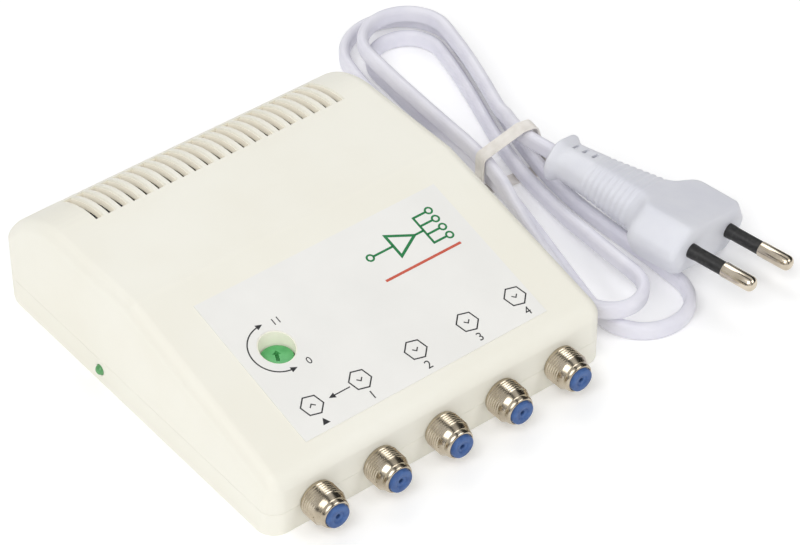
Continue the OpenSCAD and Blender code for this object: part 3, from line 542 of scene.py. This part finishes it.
def case_planes(inset):
    planes = []

    def arc(centre, radius, start, end, axes):
        steps = max(2, round(abs(end - start) / facet_deg))
        for k in range(steps + 1):
            a = math.radians(start + (end - start) * k / steps)
            out = axes(math.cos(a), math.sin(a))
            planes.append((centre + out * radius, out))

    half = case_w / 2 - inset
    edge_c = Vector((0, front_y + front_edge_r, front_h + slope * front_edge_r - front_edge_r * slope_k))
    arc(edge_c, front_edge_r - inset, 180, 90 + math.degrees(slope_a), lambda c, s: Vector((0, c, s)))
    arc(Vector((0, rear_y - rear_r, case_h - rear_r)), rear_r - inset, 90, 0, lambda c, s: Vector((0, c, s)))
    for side in (-1, 1):
        planes.append((Vector((side * half, 0, 0)), Vector((side * case_h, 0, side_draft)).normalized()))
        for y, radius, turn in ((front_y, front_corner_r, -90), (rear_y, rear_corner_r, 90)):
            corner = Vector((side * (case_w / 2 - radius), y - math.copysign(radius, y), 0))
            arc(corner, radius - inset, 0, turn, lambda c, s, side=side: Vector((side * c, s, 0)))
    planes.append((Vector((0, 0, core_foot)), Vector((0, 0, -1))))
    return planes


case_core = bmesh.new()
bmesh.ops.create_cube(case_core, size=400)
for point, out in case_planes(edge_round):
    trimmed(case_core, point, out)
case_tree = BVHTree.FromBMesh(case_core)


def case_form(radius, low, high):
    corners = [v.co.copy() for v in case_core.verts]
    case_core.normal_update()
    outs = [f.normal.copy() for f in case_core.faces]
    for i in range(1, 180 // facet_deg):
        for j in range(360 // facet_deg):
            tip, turn = math.radians(facet_deg * i), math.radians(facet_deg * j)
            flat = math.sin(tip)
            outs.append(Vector((flat * math.cos(turn), flat * math.sin(turn), math.cos(tip))))
    form = bmesh.new()
    for out in outs:
        reach = [out.dot(p) for p in corners]
        top = max(reach) - 1e-4
        for p, r in zip(corners, reach):
            if r >= top:
                form.verts.new(p + out * radius)
    bmesh.ops.remove_doubles(form, verts=form.verts, dist=1e-3)
    hull = bmesh.ops.convex_hull(form, input=form.verts)
    spare = {e for e in hull["geom_interior"] + hull["geom_unused"] if isinstance(e, bmesh.types.BMVert)}
    bmesh.ops.delete(form, geom=list(spare), context="VERTS")
    for z, way in ((low, -1), (high, 1)):
        trimmed(form, (0, 0, z), (0, 0, way))
    bmesh.ops.dissolve_limit(form, angle_limit=math.radians(0.05), verts=form.verts, edges=form.edges)
    bmesh.ops.scale(form, vec=(mm, mm, mm), verts=form.verts)
    mesh = bpy.data.meshes.new("case_form")
    form.to_mesh(mesh)
    form.free()
    return placed("case_form", mesh)


def true_normals(piece):
    mesh = piece.data
    mesh.shade_smooth()
    normals = [None] * len(mesh.loops)
    for face in mesh.polygons:
        places = [mesh.vertices[mesh.loops[i].vertex_index].co / mm for i in face.loop_indices]
        feet = [case_tree.find_nearest(p) for p in places]
        outer = all(abs(foot[3] - edge_round) < 0.03 for foot in feet)
        for i, p, foot in zip(face.loop_indices, places, feet):
            normals[i] = (p - foot[0]).normalized() if outer else face.normal
    mesh.normals_split_custom_set(normals)


def case_finish():
    # The emission strength serves only the painted light on the walls of the slots and of the trimmer's hole
    made = Finish("cream_plastic", Specular_IOR_Level=0.4, Emission_Strength=0.14)
    clouds = made.noise(30, 3)
    specks = made.noise(0.5, 4)
    grain = made.noise(0.22, 2)
    tone = clouds.step(0.3, 0.7) * 0.75 + specks.step(0.62, 0.8) * 0.25
    made.set(Base_Color=tone.colour(linear(241, 239, 228), linear(238, 235, 222)),
             Roughness=0.44 + clouds * 0.12, Normal=made.bump(grain, 0.018))
    # Painted light: the walls of the slots and of the trimmer's hole glow weakly in a warm tone. The emission
    # stands in for the light that falls into them.
    slot_painted_light_foot, hole_painted_light_foot, row_end, rim = 19, 14, slot_count / 2 * slot_pitch, hole_r ** 2
    across, back, up = [made.wire.add("ShaderNodeSeparateXYZ", None, {0: made.place}, i) / mm
                        for i in range(3)]
    aside = across - slot_shift
    row = (aside * (math.tau / slot_pitch) + math.pi / 2).sine().step(-0.02, 0.07)
    row = row * aside.step(-row_end - 0.1, -row_end) * (1 - aside.step(row_end + 0.1, row_end + 0.2))
    row = row * back.step(slot_from - 0.2, slot_from - 0.1) * (1 - back.step(slot_to + 0.1, slot_to + 0.2))
    row = row * up.step(slot_painted_light_foot, slot_painted_light_foot + 2)
    trim_x, trim_y = across - trim_at.x, back - trim_at.y
    hole = 1 - (trim_x * trim_x + trim_y * trim_y).step(rim + 0.24, rim + 0.84)
    hole = hole * up.step(hole_painted_light_foot, hole_painted_light_foot + 2)
    # Painted light: warm emission on the slot and hole walls, black everywhere else
    made.set(Emission_Color=(row + hole).colour((0, 0, 0, 1), (0.95, 0.82, 0.68, 1)))
    return made.material


def grown(name, tree, values, mesh=None):
    piece = bpy.data.objects.new(name, mesh or bpy.data.meshes.new(name))
    bpy.context.scene.collection.objects.link(piece)
    grow = piece.modifiers.new("grow", "NODES")
    grow.node_group = tree
    for item in tree.interface.items_tree:
        if item.item_type == "SOCKET" and item.in_out == "INPUT" and item.name in values:
            grow[item.identifier] = values[item.name]
    plain = bpy.data.meshes.new_from_object(piece.evaluated_get(bpy.context.evaluated_depsgraph_get()))
    bpy.data.objects.remove(piece)
    return placed(name, plain)


def new_tree(name, inputs):
    tree = bpy.data.node_groups.new(name, "GeometryNodeTree")
    tree.interface.new_socket("Geometry", in_out="OUTPUT", socket_type="NodeSocketGeometry")
    for label, kind in inputs.items():
        tree.interface.new_socket(label, in_out="INPUT", socket_type="NodeSocket" + kind)
    source = tree.nodes.new("NodeGroupInput")
    return tree, {label: Wire(tree, source.outputs[label]) for label in inputs}


def close_tree(tree, geometry, material):
    real = geometry.add("GeometryNodeRealizeInstances", None, {0: geometry})
    real = real.add("GeometryNodeSetMaterial", None, {"Geometry": real, "Material": material})
    tree.links.new(real.socket, tree.nodes.new("NodeGroupOutput").inputs[0])


def in_row(inputs, piece):
    line = piece.add("GeometryNodeMeshLine", {"mode": "OFFSET"}, {
        "Count": inputs["Count"], "Start Location": inputs["First"], "Offset": inputs["Step"]})
    return line.add("GeometryNodeInstanceOnPoints", None, {"Points": line, "Instance": piece})


def slot_set(wider):
    first_x, cut_foot = slot_shift + (1 - slot_count) / 2 * slot_pitch, 18.5
    middle = Vector((first_x, (slot_from + slot_to) / 2, cut_foot + case_h / 2))
    return grown("vent_slots", slot_tree, {
        "Slot size": Vector((slot_w + wider, slot_to - slot_from + wider, case_h)) * mm, "Count": slot_count,
        "First": middle * mm, "Step": Vector((slot_pitch, 0, 0)) * mm})


cream = case_finish()
row_inputs = {"Count": "Int", "First": "Vector", "Step": "Vector"}
slot_tree, slot_in = new_tree("vent_slots", {"Slot size": "Vector", **row_inputs})
slot_bar = Wire(slot_tree).add("GeometryNodeMeshCube", None, {"Size": slot_in["Slot size"]})
close_tree(slot_tree, in_row(slot_in, slot_bar), cream)
# Two shallow, wider sets soften the rims of the slots
slot_cuts = [slot_set(0)]
for wider, depth in ((0.4, 0.34), (0.75, 0.14)):
    slot_cuts.append(carved(slot_set(wider), [case_form(edge_round - depth, 0, case_h + 1)]))


def panel_z(y):
    return front_h + slope * (y - front_y)


def seam_cutters():
    to_rear, to_right = Matrix.Rotation(-math.pi / 2, 4, "X"), Matrix.Rotation(math.pi / 2, 4, "Y")
    rods = [turned("hole", [(neck_hole_r, -60), (neck_hole_r, -45)],
                   Matrix.Translation((x, 0, seam_z)) @ to_rear) for x in socket_x]
    lamp_way = Matrix.Translation(lamp_at) @ to_right
    rods.append(turned("hole", [(lamp_hole_r, -52), (lamp_hole_r, -40)], lamp_way, 32))
    rods.append(turned("hole", [(bush_hole_r, 40), (bush_hole_r, 56)], bush_way))
    return rods


upright = Matrix.Translation(trim_at)
guide_rim = [trim_at + guide_r * Vector((math.cos(math.pi * j / 48), math.sin(math.pi * j / 48), 0))
             for j in range(96)]
guide_collar = skin("guide_collar", [
    [p + Vector((0, 0, head_top - 1)) for p in guide_rim],
    [p + Vector((0, 0, panel_z(p.y) - guide_below * slope_k)) for p in guide_rim]])
cover_shell = case_form(edge_round, seam_z + seam_gap / 2, case_h + 1)
carved(cover_shell, [case_form(edge_round - wall, seam_z - 2, case_h + 1)])
carved(cover_shell, [guide_collar], "UNION")
carved(cover_shell, [*slot_cuts, turned("hole", [(hole_r, 14), (hole_r, 40)], upright, 96), *seam_cutters()])
cover_shell.name = "cover_shell"
screw_recesses = [turned("recess", [(screw_recess_r, -1), (screw_recess_r, screw_recess_h)],
                         Matrix.Translation((x, y, 0)))
                  for x in (-screw_x, screw_x) for y in (screw_front, screw_rear)]
base_shell = carved(case_form(edge_round, 0, seam_z - seam_gap / 2), [
    case_form(edge_round - lip_inset, floor_t, seam_z + 2), *seam_cutters(), *screw_recesses])
base_shell.name = "base_shell"
for shell, node in ((cover_shell, "top_cover"), (base_shell, "base_tray")):
    true_normals(shell)
    shell.data.materials.clear()
    shell.data.materials.append(cream)
    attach(shell, "housing")
    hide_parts(node)

# Sticker: a white polyester film with a satin face. It is die cut with a hole for the trimmer and stuck
# on the sloping panel.
def film_finish():
    made = Finish("label_film", Specular_IOR_Level=0.4)
    clouds = made.noise(18)
    fibre = made.noise(0.4, 4)
    made.set(Base_Color=clouds.step(0.3, 0.7).colour(linear(239, 238, 234), linear(235, 234, 230)),
             Roughness=0.36 + fibre * 0.14, Normal=made.bump(fibre, 0.008))
    return made.material


def dressed(node, material):
    for holder in frame["nodes"][node].material_slots:
        holder.material = material


dressed("front_label", film_finish())

# Print on the sticker: socket symbols with plain numbers, the trimmer's scale, an arrow and a block diagram.
# Each ink is screen printed as one thin layer.
panel_place = Matrix.Translation((0, front_y, front_h)) @ Matrix.Rotation(slope_a, 4, "X")
ink_low, ink_high = 0.165, 0.185
symbol_s, number_s, trim_s = 13.3, 8.3, 30.58
symbol_x = [-27.9, -14.1, 2.2, 17.6, 32.1]
symbol_r, scale_r = 2.85, 6.9
line_w, thin_w, diagram_w, ring_w = 0.34, 0.3, 0.6, 0.5
digit_share = 0.7


def stroke(form, points, width=line_w, closed=False):
    points = [Vector(p) for p in points]
    rims = []
    for i, p in enumerate(points):
        before = points[i - 1] if i or closed else 2 * p - points[1]
        after = points[(i + 1) % len(points)] if i + 1 < len(points) or closed else 2 * p - points[i - 1]
        into, out = (p - before).normalized(), (after - p).normalized()
        first, last = Vector((-into.y, into.x)), Vector((-out.y, out.x))
        side = (first + last) * (width / 2) / (1 + first.dot(last))
        rims.append([form.verts.new((*(p + k * side), 0)) for k in (1, -1)])
    ends = rims[1:] + rims[:1] if closed else rims[1:]
    for (a, b), (c, d) in zip(rims, ends):
        form.faces.new((a, b, d, c))


def patch(form, corners):
    form.faces.new([form.verts.new((x, y, 0)) for x, y in corners])


def arrow_tip(form, tip, way, length=1.7, half=0.75):
    tip, way = Vector(tip), Vector(way).normalized()
    side = Vector((-way.y, way.x))
    patch(form, [tip, tip - way * length + side * half, tip - way * length - side * half])


def number(form, digits, place, height):
    words = bpy.data.curves.new("number", "FONT")
    words.body = digits
    words.size = height / digit_share
    words.align_x = "CENTER"
    words.align_y = "CENTER"
    sign = bpy.data.objects.new("number", words)
    bpy.context.scene.collection.objects.link(sign)
    mesh = bpy.data.meshes.new_from_object(sign.evaluated_get(bpy.context.evaluated_depsgraph_get()))
    bpy.data.objects.remove(sign)
    mesh.transform(Matrix.Translation((*place, 0)))
    form.from_mesh(mesh)


def circle(centre, radius, start, end, steps):
    angles = [math.radians(start + (end - start) * k / steps) for k in range(steps + 1)]
    return [(centre[0] + radius * math.cos(a), centre[1] + radius * math.sin(a)) for a in angles]


def printed(name, form, ink, pale, dull):
    made = bmesh.ops.extrude_face_region(form, geom=form.faces[:])
    raised = [v for v in made["geom"] if isinstance(v, bmesh.types.BMVert)]
    bmesh.ops.translate(form, vec=(0, 0, ink_high - ink_low), verts=raised)
    bmesh.ops.transform(form, matrix=panel_place @ Matrix.Translation((0, 0, ink_low)), verts=form.verts)
    bmesh.ops.scale(form, vec=(mm, mm, mm), verts=form.verts)
    mesh = bpy.data.meshes.new(name)
    form.to_mesh(mesh)
    form.free()
    piece = placed(name, mesh, 30)
    piece.data.materials.append(mottled(ink, pale, dull, (0.35, 4), None, 0.004, 0.42, 0.2, (0.35, 0.75),
                                        Specular_IOR_Level=0.35))
    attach(piece, "housing")


black_ink = bmesh.new()
for i, x in enumerate(symbol_x):
    stroke(black_ink, circle((x, symbol_s), symbol_r, 45, 345, 5), closed=True)
    point = 0.75 if i == 0 else -0.75
    foot, tip = symbol_s - point / 2, symbol_s + point / 2
    stroke(black_ink, [(x - 0.8, foot), (x, tip), (x + 0.8, foot)], thin_w)
    if i == 0:
        arrow_tip(black_ink, (x, number_s + 1), (0, 1), 1.8, 1.0)
    else:
        number(black_ink, str(i), (x, number_s), 2.3)
stroke(black_ink, [(-17.3, symbol_s - 0.4), (-22, symbol_s - 0.4)], thin_w)
arrow_tip(black_ink, (-23.4, symbol_s - 0.4), (-1, 0))
stroke(black_ink, circle((trim_at.x, trim_s), scale_r, 97, 263, 40))
arrow_tip(black_ink, (trim_at.x + 0.8, trim_s + 6.95), (1, 0.05))
arrow_tip(black_ink, (trim_at.x + 0.8, trim_s - 6.95), (1, -0.05))
number(black_ink, "11", (trim_at.x + 4.2, trim_s + 6.1), 1.9)
number(black_ink, "0", (trim_at.x + 4.2, trim_s - 6.9), 1.9)
green_ink, red_ink = bmesh.new(), bmesh.new()
hub = Vector((19, 40))
stroke(green_ink, [hub + Vector(p) for p in ((-3, -3.4), (3.4, 0), (-3, 3.4))], 0.75, True)
stroke(green_ink, [hub + Vector((-9, 0)), hub + Vector((-3, 0))], diagram_w)
stroke(green_ink, circle(hub + Vector((-9.9, 0)), 0.9, 0, 330, 11), ring_w, True)
stroke(green_ink, [hub + Vector((3.4, 0)), hub + Vector((6.2, 0))], diagram_w)
stroke(green_ink, [hub + Vector((6.2, -4.5)), hub + Vector((6.2, 4.5))], diagram_w)
for k in range(4):
    rise = -4.2 + 2.8 * k
    stroke(green_ink, [hub + Vector((6.2, rise)), hub + Vector((10, rise))], diagram_w)
    stroke(green_ink, circle(hub + Vector((10.9, rise)), 0.9, 0, 330, 11), ring_w, True)
stroke(red_ink, [hub + Vector((-10.8, -7.4)), hub + Vector((11.8, -7.4))], 0.7)
printed("black_print", black_ink, "black_ink", (38, 38, 40), (62, 62, 64))
printed("green_print", green_ink, "green_ink", (30, 120, 66), (48, 136, 82))
printed("red_print", red_ink, "red_ink", (196, 84, 66), (206, 104, 84))

# Coaxial sockets: brass barrels with a rolled thread and a smooth collar, turned and nickel plated. Each
# stands on the board by its flange, and the two halves of the case close round its neck.
thread_r, thread_ridge, thread_turns, thread_l, thread_out = 4.53, 0.21, 6.5, 4.5, 0.5
flange_low, flange_high = (-6.5, -52.3, 2.2), (6.5, -50.7, 11)
socket_way = Matrix.Translation((0, front_y, seam_z)) @ Matrix.Rotation(math.pi / 2, 4, "X")
barrel_profile = [
    (3.1, -9), (3.9, -9), (3.9, -3.7), (4.35, -3.7), (4.35, 0.06), (4.54, 0.12), (4.54, 5.05),
    (4.5, 5.2), (4.05, 6.2), (3.94, 6.36), (3.92, 6.46), (3.96, 6.56), (3.95, 6.8), (3.9, 7.1),
    (3.8, 7.4), (3.64, 7.65), (3.45, 7.78), (3.3, 7.8), (3.16, 7.68), (3.12, 7.4),
]
barrel = together("barrel", [turned("neck", barrel_profile, socket_way, 64),
                             block("flange", flange_low, flange_high)])
row_step = {"Count": len(socket_x), "First": Vector((socket_x[0], 0, 0)) * mm,
            "Step": Vector((socket_pitch, 0, 0)) * mm}
socket_tree, socket_in = new_tree("socket_row", {
    "Barrel": "Geometry", "Thread radius": "Float", "Ridge": "Float", "Turns": "Float", "Length": "Float",
    "Start": "Vector", **row_inputs})
helix = Wire(socket_tree).add("GeometryNodeCurveSpiral", None, {
    "Resolution": 40, "Rotations": socket_in["Turns"], "Start Radius": socket_in["Thread radius"],
    "End Radius": socket_in["Thread radius"], "Height": socket_in["Length"]})
helix = helix.add("GeometryNodeSetCurveNormal", {"mode": "Z_UP"}, {"Curve": helix})
ridge = helix.add("GeometryNodeCurvePrimitiveCircle", {"mode": "RADIUS"},
                  {"Resolution": 4, "Radius": socket_in["Ridge"]})
thread = helix.add("GeometryNodeCurveToMesh", None,
                   {"Curve": helix, "Profile Curve": ridge, "Fill Caps": True})
thread = thread.add("GeometryNodeTransform", None, {
    "Geometry": thread, "Translation": socket_in["Start"], "Rotation": (math.pi / 2, 0, 0)})
whole = thread.add("GeometryNodeJoinGeometry", None, {"Geometry": [socket_in["Barrel"], thread]})
nickel = mottled("socket_nickel", (202, 191, 172), (178, 166, 146), (3, 4), (0.3, 2), 0.004, 0.16, 0.12,
                 Metallic=1.0)
close_tree(socket_tree, in_row(socket_in, whole), nickel)
barrels = grown("socket_barrels", socket_tree, {
    "Thread radius": thread_r * mm, "Ridge": thread_ridge * mm, "Turns": thread_turns,
    "Length": thread_l * mm, "Start": Vector((0, front_y - thread_out, seam_z)) * mm, **row_step},
    mesh_of(barrel))
socket_names = ["input", "out_1", "out_2", "out_3", "out_4"]
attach(barrels, "housing")
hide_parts(*["socket_" + name for name in socket_names])

# Socket inserts: blue polyethylene, moulded with a dished face and a small lead-in hole for the plug's
# wire, and pushed into the barrels.
insert_profile = [(0.6, 5.5), (0.6, 8.15), (0.75, 8.3), (1.35, 8.36), (1.6, 8.62), (1.85, 8.7), (2.7, 8.7),
                  (2.95, 8.6), (3.05, 8.35), (3.05, 4)]
insert = turned("insert", insert_profile, socket_way, 48)
insert_tree, insert_in = new_tree("insert_row", {"Insert": "Geometry", **row_inputs})
insert_blue = mottled("insert_blue", (66, 100, 156), (54, 84, 138), (1.6, 3), (0.2, 2), 0.012, 0.38, 0.16,
                      Specular_IOR_Level=0.4)
close_tree(insert_tree, in_row(insert_in, insert_in["Insert"]), insert_blue)
inserts = grown("socket_inserts", insert_tree, row_step, mesh_of(insert))
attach(inserts, "housing")
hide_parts(*["socket_insert_" + name for name in socket_names])

# Trimmer: a green nylon spindle whose round head has a closed screwdriver slot and a pointer. It turns in
# the trimmer's body on the board, inside the cover's guide collar.
head_r, head_t, spindle_r, spindle_foot = 4.0, 3.2, 1.9, 6.2
driver_half_l, driver_half_w, driver_deep, driver_turn = 1.6, 0.45, 1.4, math.radians(63)
pointer, pointer_deep = [(2.0, 0), (0.7, 1.05), (0.7, -1.05)], 0.6
head_low = head_top - head_t
trimmer_profile = [(spindle_r, spindle_foot), (spindle_r, head_low), (head_r - 0.2, head_low),
                   (head_r, head_low + 0.2), *rounding(head_r, head_top, 0.35, 5), (2.6, head_top - 0.04)]
trimmer = turned("trimmer_head", trimmer_profile, upright, 96)
driver_place = upright @ Matrix.Rotation(driver_turn, 4, "Z")
carved(trimmer, [
    block("slot", (-driver_half_l, -driver_half_w, head_top - driver_deep),
          (driver_half_l, driver_half_w, head_top + 1), driver_place),
    skin("pointer", [[driver_place @ Vector((x, y, z)) for x, y in pointer]
                     for z in (head_top - pointer_deep, head_top + 1)])])
creased(trimmer.data)
trimmer.data.materials.clear()
trimmer_green = mottled("trimmer_green", (96, 182, 112), (82, 168, 100), (2, 3), (0.18, 2), 0.012, 0.34, 0.16,
                        Specular_IOR_Level=0.45)
trimmer.data.materials.append(trimmer_green)
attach(trimmer, "spindle")
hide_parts("trimmer_spindle")

# Pilot lamp: a light-emitting diode of 3 mm, cast in green tinted epoxy. Its dome looks out of a hole in
# the left wall, and its leads are soldered to the board.
lamp_r, lamp_rim_r, lamp_foot, dome_x = 1.4, 1.6, 45.02, 49.464
lamp_profile = [(lamp_rim_r, lamp_foot), (lamp_rim_r, 45.81), (lamp_r, 45.83)]
lamp_profile += rounding(lamp_r, dome_x + lamp_r, lamp_r - 0.03, 10)
lamp_way = Matrix.Translation(lamp_at) @ Matrix.Rotation(-math.pi / 2, 4, "Y")
lamp_dome = turned("lamp_dome", lamp_profile, lamp_way, 40)
lamp_green = mottled("lamp_green", (120, 196, 128), (96, 176, 106), (1.2, 3), None, 0.01, 0.12, 0.1, IOR=1.5,
                     Transmission_Weight=0.35)
lamp_dome.data.materials.append(lamp_green)
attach(lamp_dome, "housing")
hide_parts("pilot_lamp")

# Case screws: four pan-head screws of zinc plated steel with a cross recess. They are driven from below,
# through the base, into the cover's bosses.
cross_half_l, cross_half_w, cross_deep = 1.7, 0.38, 2.3
screw_profile = [(1.9, 1.0), (2.5, 1.12), (2.75, 1.5), (2.8, 1.9), (2.8, 3.18), (1.2, 3.18), (1.2, 13.2),
                 (0.6, 14.2)]
screw = turned("screw", screw_profile, Matrix.Identity(4), 40)
carved(screw, [block("recess", (-half_x, -half_y, 0), (half_x, half_y, cross_deep))
               for half_x, half_y in ((cross_half_l, cross_half_w), (cross_half_w, cross_half_l))])
screw_tree, screw_in = new_tree("case_screws", {
    "Screw": "Geometry", "Width": "Float", "Depth": "Float", "Middle": "Vector"})
spots = Wire(screw_tree).add("GeometryNodeMeshGrid", None, {
    "Size X": screw_in["Width"], "Size Y": screw_in["Depth"], "Vertices X": 2, "Vertices Y": 2})
spots = spots.add("GeometryNodeTransform", None, {"Geometry": spots, "Translation": screw_in["Middle"]})
spots = spots.add("GeometryNodeInstanceOnPoints", None, {"Points": spots, "Instance": screw_in["Screw"]})
zinc = mottled("screw_zinc", (205, 206, 202), (176, 177, 172), (1.2, 4), None, 0.01, 0.28, 0.2, Metallic=1.0)
close_tree(screw_tree, spots, zinc)
screws = grown("case_screw_set", screw_tree, {
    "Width": 2 * screw_x * mm, "Depth": (screw_rear - screw_front) * mm,
    "Middle": Vector((0, (screw_front + screw_rear) / 2, 0)) * mm}, mesh_of(screw))
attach(screws, "housing")
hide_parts("case_screws")

# Inside pieces: the board with its parts, the transformer, the fuse, the shield can and the cord's clamp
# keep their solids, and each gets the finish of its own material.
def plain_finish(name, first, second, size, rough, depth, **sockets):
    return mottled(name, first, second, (size, 4), None, depth, rough, 0.2, **sockets)


def lined_finish(name, first, second, axis, pitch, rough, depth, **sockets):
    made = Finish(name, **sockets)
    along = made.wire.add("ShaderNodeSeparateXYZ", None, {0: made.place}, axis)
    lines = (along * (2 * math.pi / (pitch * mm))).sine() * 0.5 + 0.5
    clouds = made.noise(3)
    made.set(Base_Color=(lines * 0.7 + clouds * 0.3).colour(linear(*first), linear(*second)),
             Roughness=rough + clouds * 0.2, Normal=made.bump(lines, depth))
    return made.material


def board_finish():
    made = Finish("board_resist", Specular_IOR_Level=0.5)
    cells = made.wire.add("ShaderNodeTexVoronoi", {"distance": "MANHATTAN", "feature": "DISTANCE_TO_EDGE"},
                          {"Vector": made.place, "Scale": 260.0})
    tracks = cells.step(0.04, 0.08)
    clouds = made.noise(6)
    made.set(Base_Color=tracks.colour(linear(70, 116, 78), linear(44, 84, 54)), Roughness=0.35 + clouds * 0.2,
             Normal=made.bump(1 - tracks, 0.03))
    return made.material


black = plain_finish("black_moulding", (34, 34, 36), (52, 52, 54), 0.9, 0.4, 0.02)
brass = plain_finish("contact_brass", (206, 176, 100), (184, 150, 78), 1.5, 0.22, 0.006, Metallic=1.0)
sheet = plain_finish("shield_tin", (208, 211, 214), (184, 188, 192), 5, 0.26, 0.012, Metallic=1.0)
inside = {
    "contact_brass": brass, "screw_steel": zinc, "shield_sheet": sheet, "black_plastic": black,
    "nickel": nickel, "board": board_finish(), "cream_plastic": cream, "cord_sheath": plug_plastic,
    "core_steel": lined_finish("core_laminations", (112, 109, 106), (74, 72, 70), 1, 0.7, 0.5, 0.06,
                               Metallic=0.6),
    "bobbin_plastic": plain_finish("bobbin_nylon", (228, 220, 196), (214, 204, 176), 2, 0.42, 0.02),
    "winding_copper": lined_finish("winding_wire", (190, 110, 62), (112, 56, 28), 0, 0.45, 0.3, 0.12,
                                   Metallic=0.7),
    "fuse_glass": plain_finish("fuse_glass", (236, 242, 241), (226, 234, 233), 2, 0.05, 0.002,
                               Transmission_Weight=0.9),
    "capacitor_can": plain_finish("capacitor_sleeve", (40, 43, 56), (54, 58, 74), 3, 0.3, 0.01),
    "sink_aluminium": lined_finish("sink_sheet", (196, 199, 201), (176, 179, 182), 2, 0.9, 0.34, 0.02,
                                   Metallic=1.0),
    "ferrite": plain_finish("ferrite_core", (62, 60, 60), (80, 78, 76), 0.5, 0.6, 0.03),
    "wire_sheath": plain_finish("wire_sheath", (88, 124, 178), (76, 110, 162), 1.5, 0.35, 0.02),
}
replaced = {"top_cover", "base_tray", "front_label", "case_screws", "pilot_lamp", "trimmer_spindle",
            "hank_tie"}
for part in frame["record"]["subparts"]:
    if part["node"] not in replaced and part["material_slot"] in inside:
        dressed(part["node"], inside[part["material_slot"]])

# Stage: a wide white table top, a large soft lamp at the left and two weaker ones. The light all round is
# even but for dark flags overhead and at both sides, which give the nickel its stripes. None of it is part
# of the object.
table_half, table_t = 6000, 10
table = block("table", (-table_half, -table_half, -table_t), (table_half, table_half, -0.02))
table_white = Finish("table_white", Roughness=0.9, Specular_IOR_Level=0.1, Emission_Strength=0.12)
table_white.set(Base_Color=table_white.noise(400, 2).colour((0.97, 0.97, 0.97, 1), (0.99, 0.99, 0.99, 1)),
                Emission_Color=(1, 1, 1, 1))
table.data.materials.append(table_white.material)
lamps = [("key", (-0.66, -0.4, 0.9), 0.8, 5.6), ("front", (0.45, -0.75, 0.75), 0.5, 2.3),
         ("rear", (0.3, 0.75, 0.85), 0.6, 2.6)]
for name, place, size, power in lamps:
    lamp = bpy.data.objects.new(name, bpy.data.lights.new(name, "AREA"))
    lamp.data.size = size
    lamp.data.energy = power
    lamp.location = place
    lamp.rotation_euler = (-Vector(place)).to_track_quat("-Z", "Y").to_euler()
    bpy.context.scene.collection.objects.link(lamp)
world = bpy.data.worlds.new("studio")
world.use_nodes = True
sky = Wire(world.node_tree)
right = sky.add("ShaderNodeSeparateXYZ", None, {0: sky.add("ShaderNodeTexCoord", output="Generated")})
overhead = right.step(-0.13, -0.05) * (1 - right.step(0.13, 0.21))
flags = overhead + right.step(0.58, 0.7) + 1 - right.step(-0.98, -0.9)
light = flags.colour((1, 1, 1, 1), (0.03, 0.03, 0.03, 1))
background = world.node_tree.nodes["Background"]
background.inputs["Strength"].default_value = 0.67
world.node_tree.links.new(light.socket, background.inputs["Color"])
bpy.context.scene.world = world
bpy.context.scene.view_settings.view_transform = "Standard"
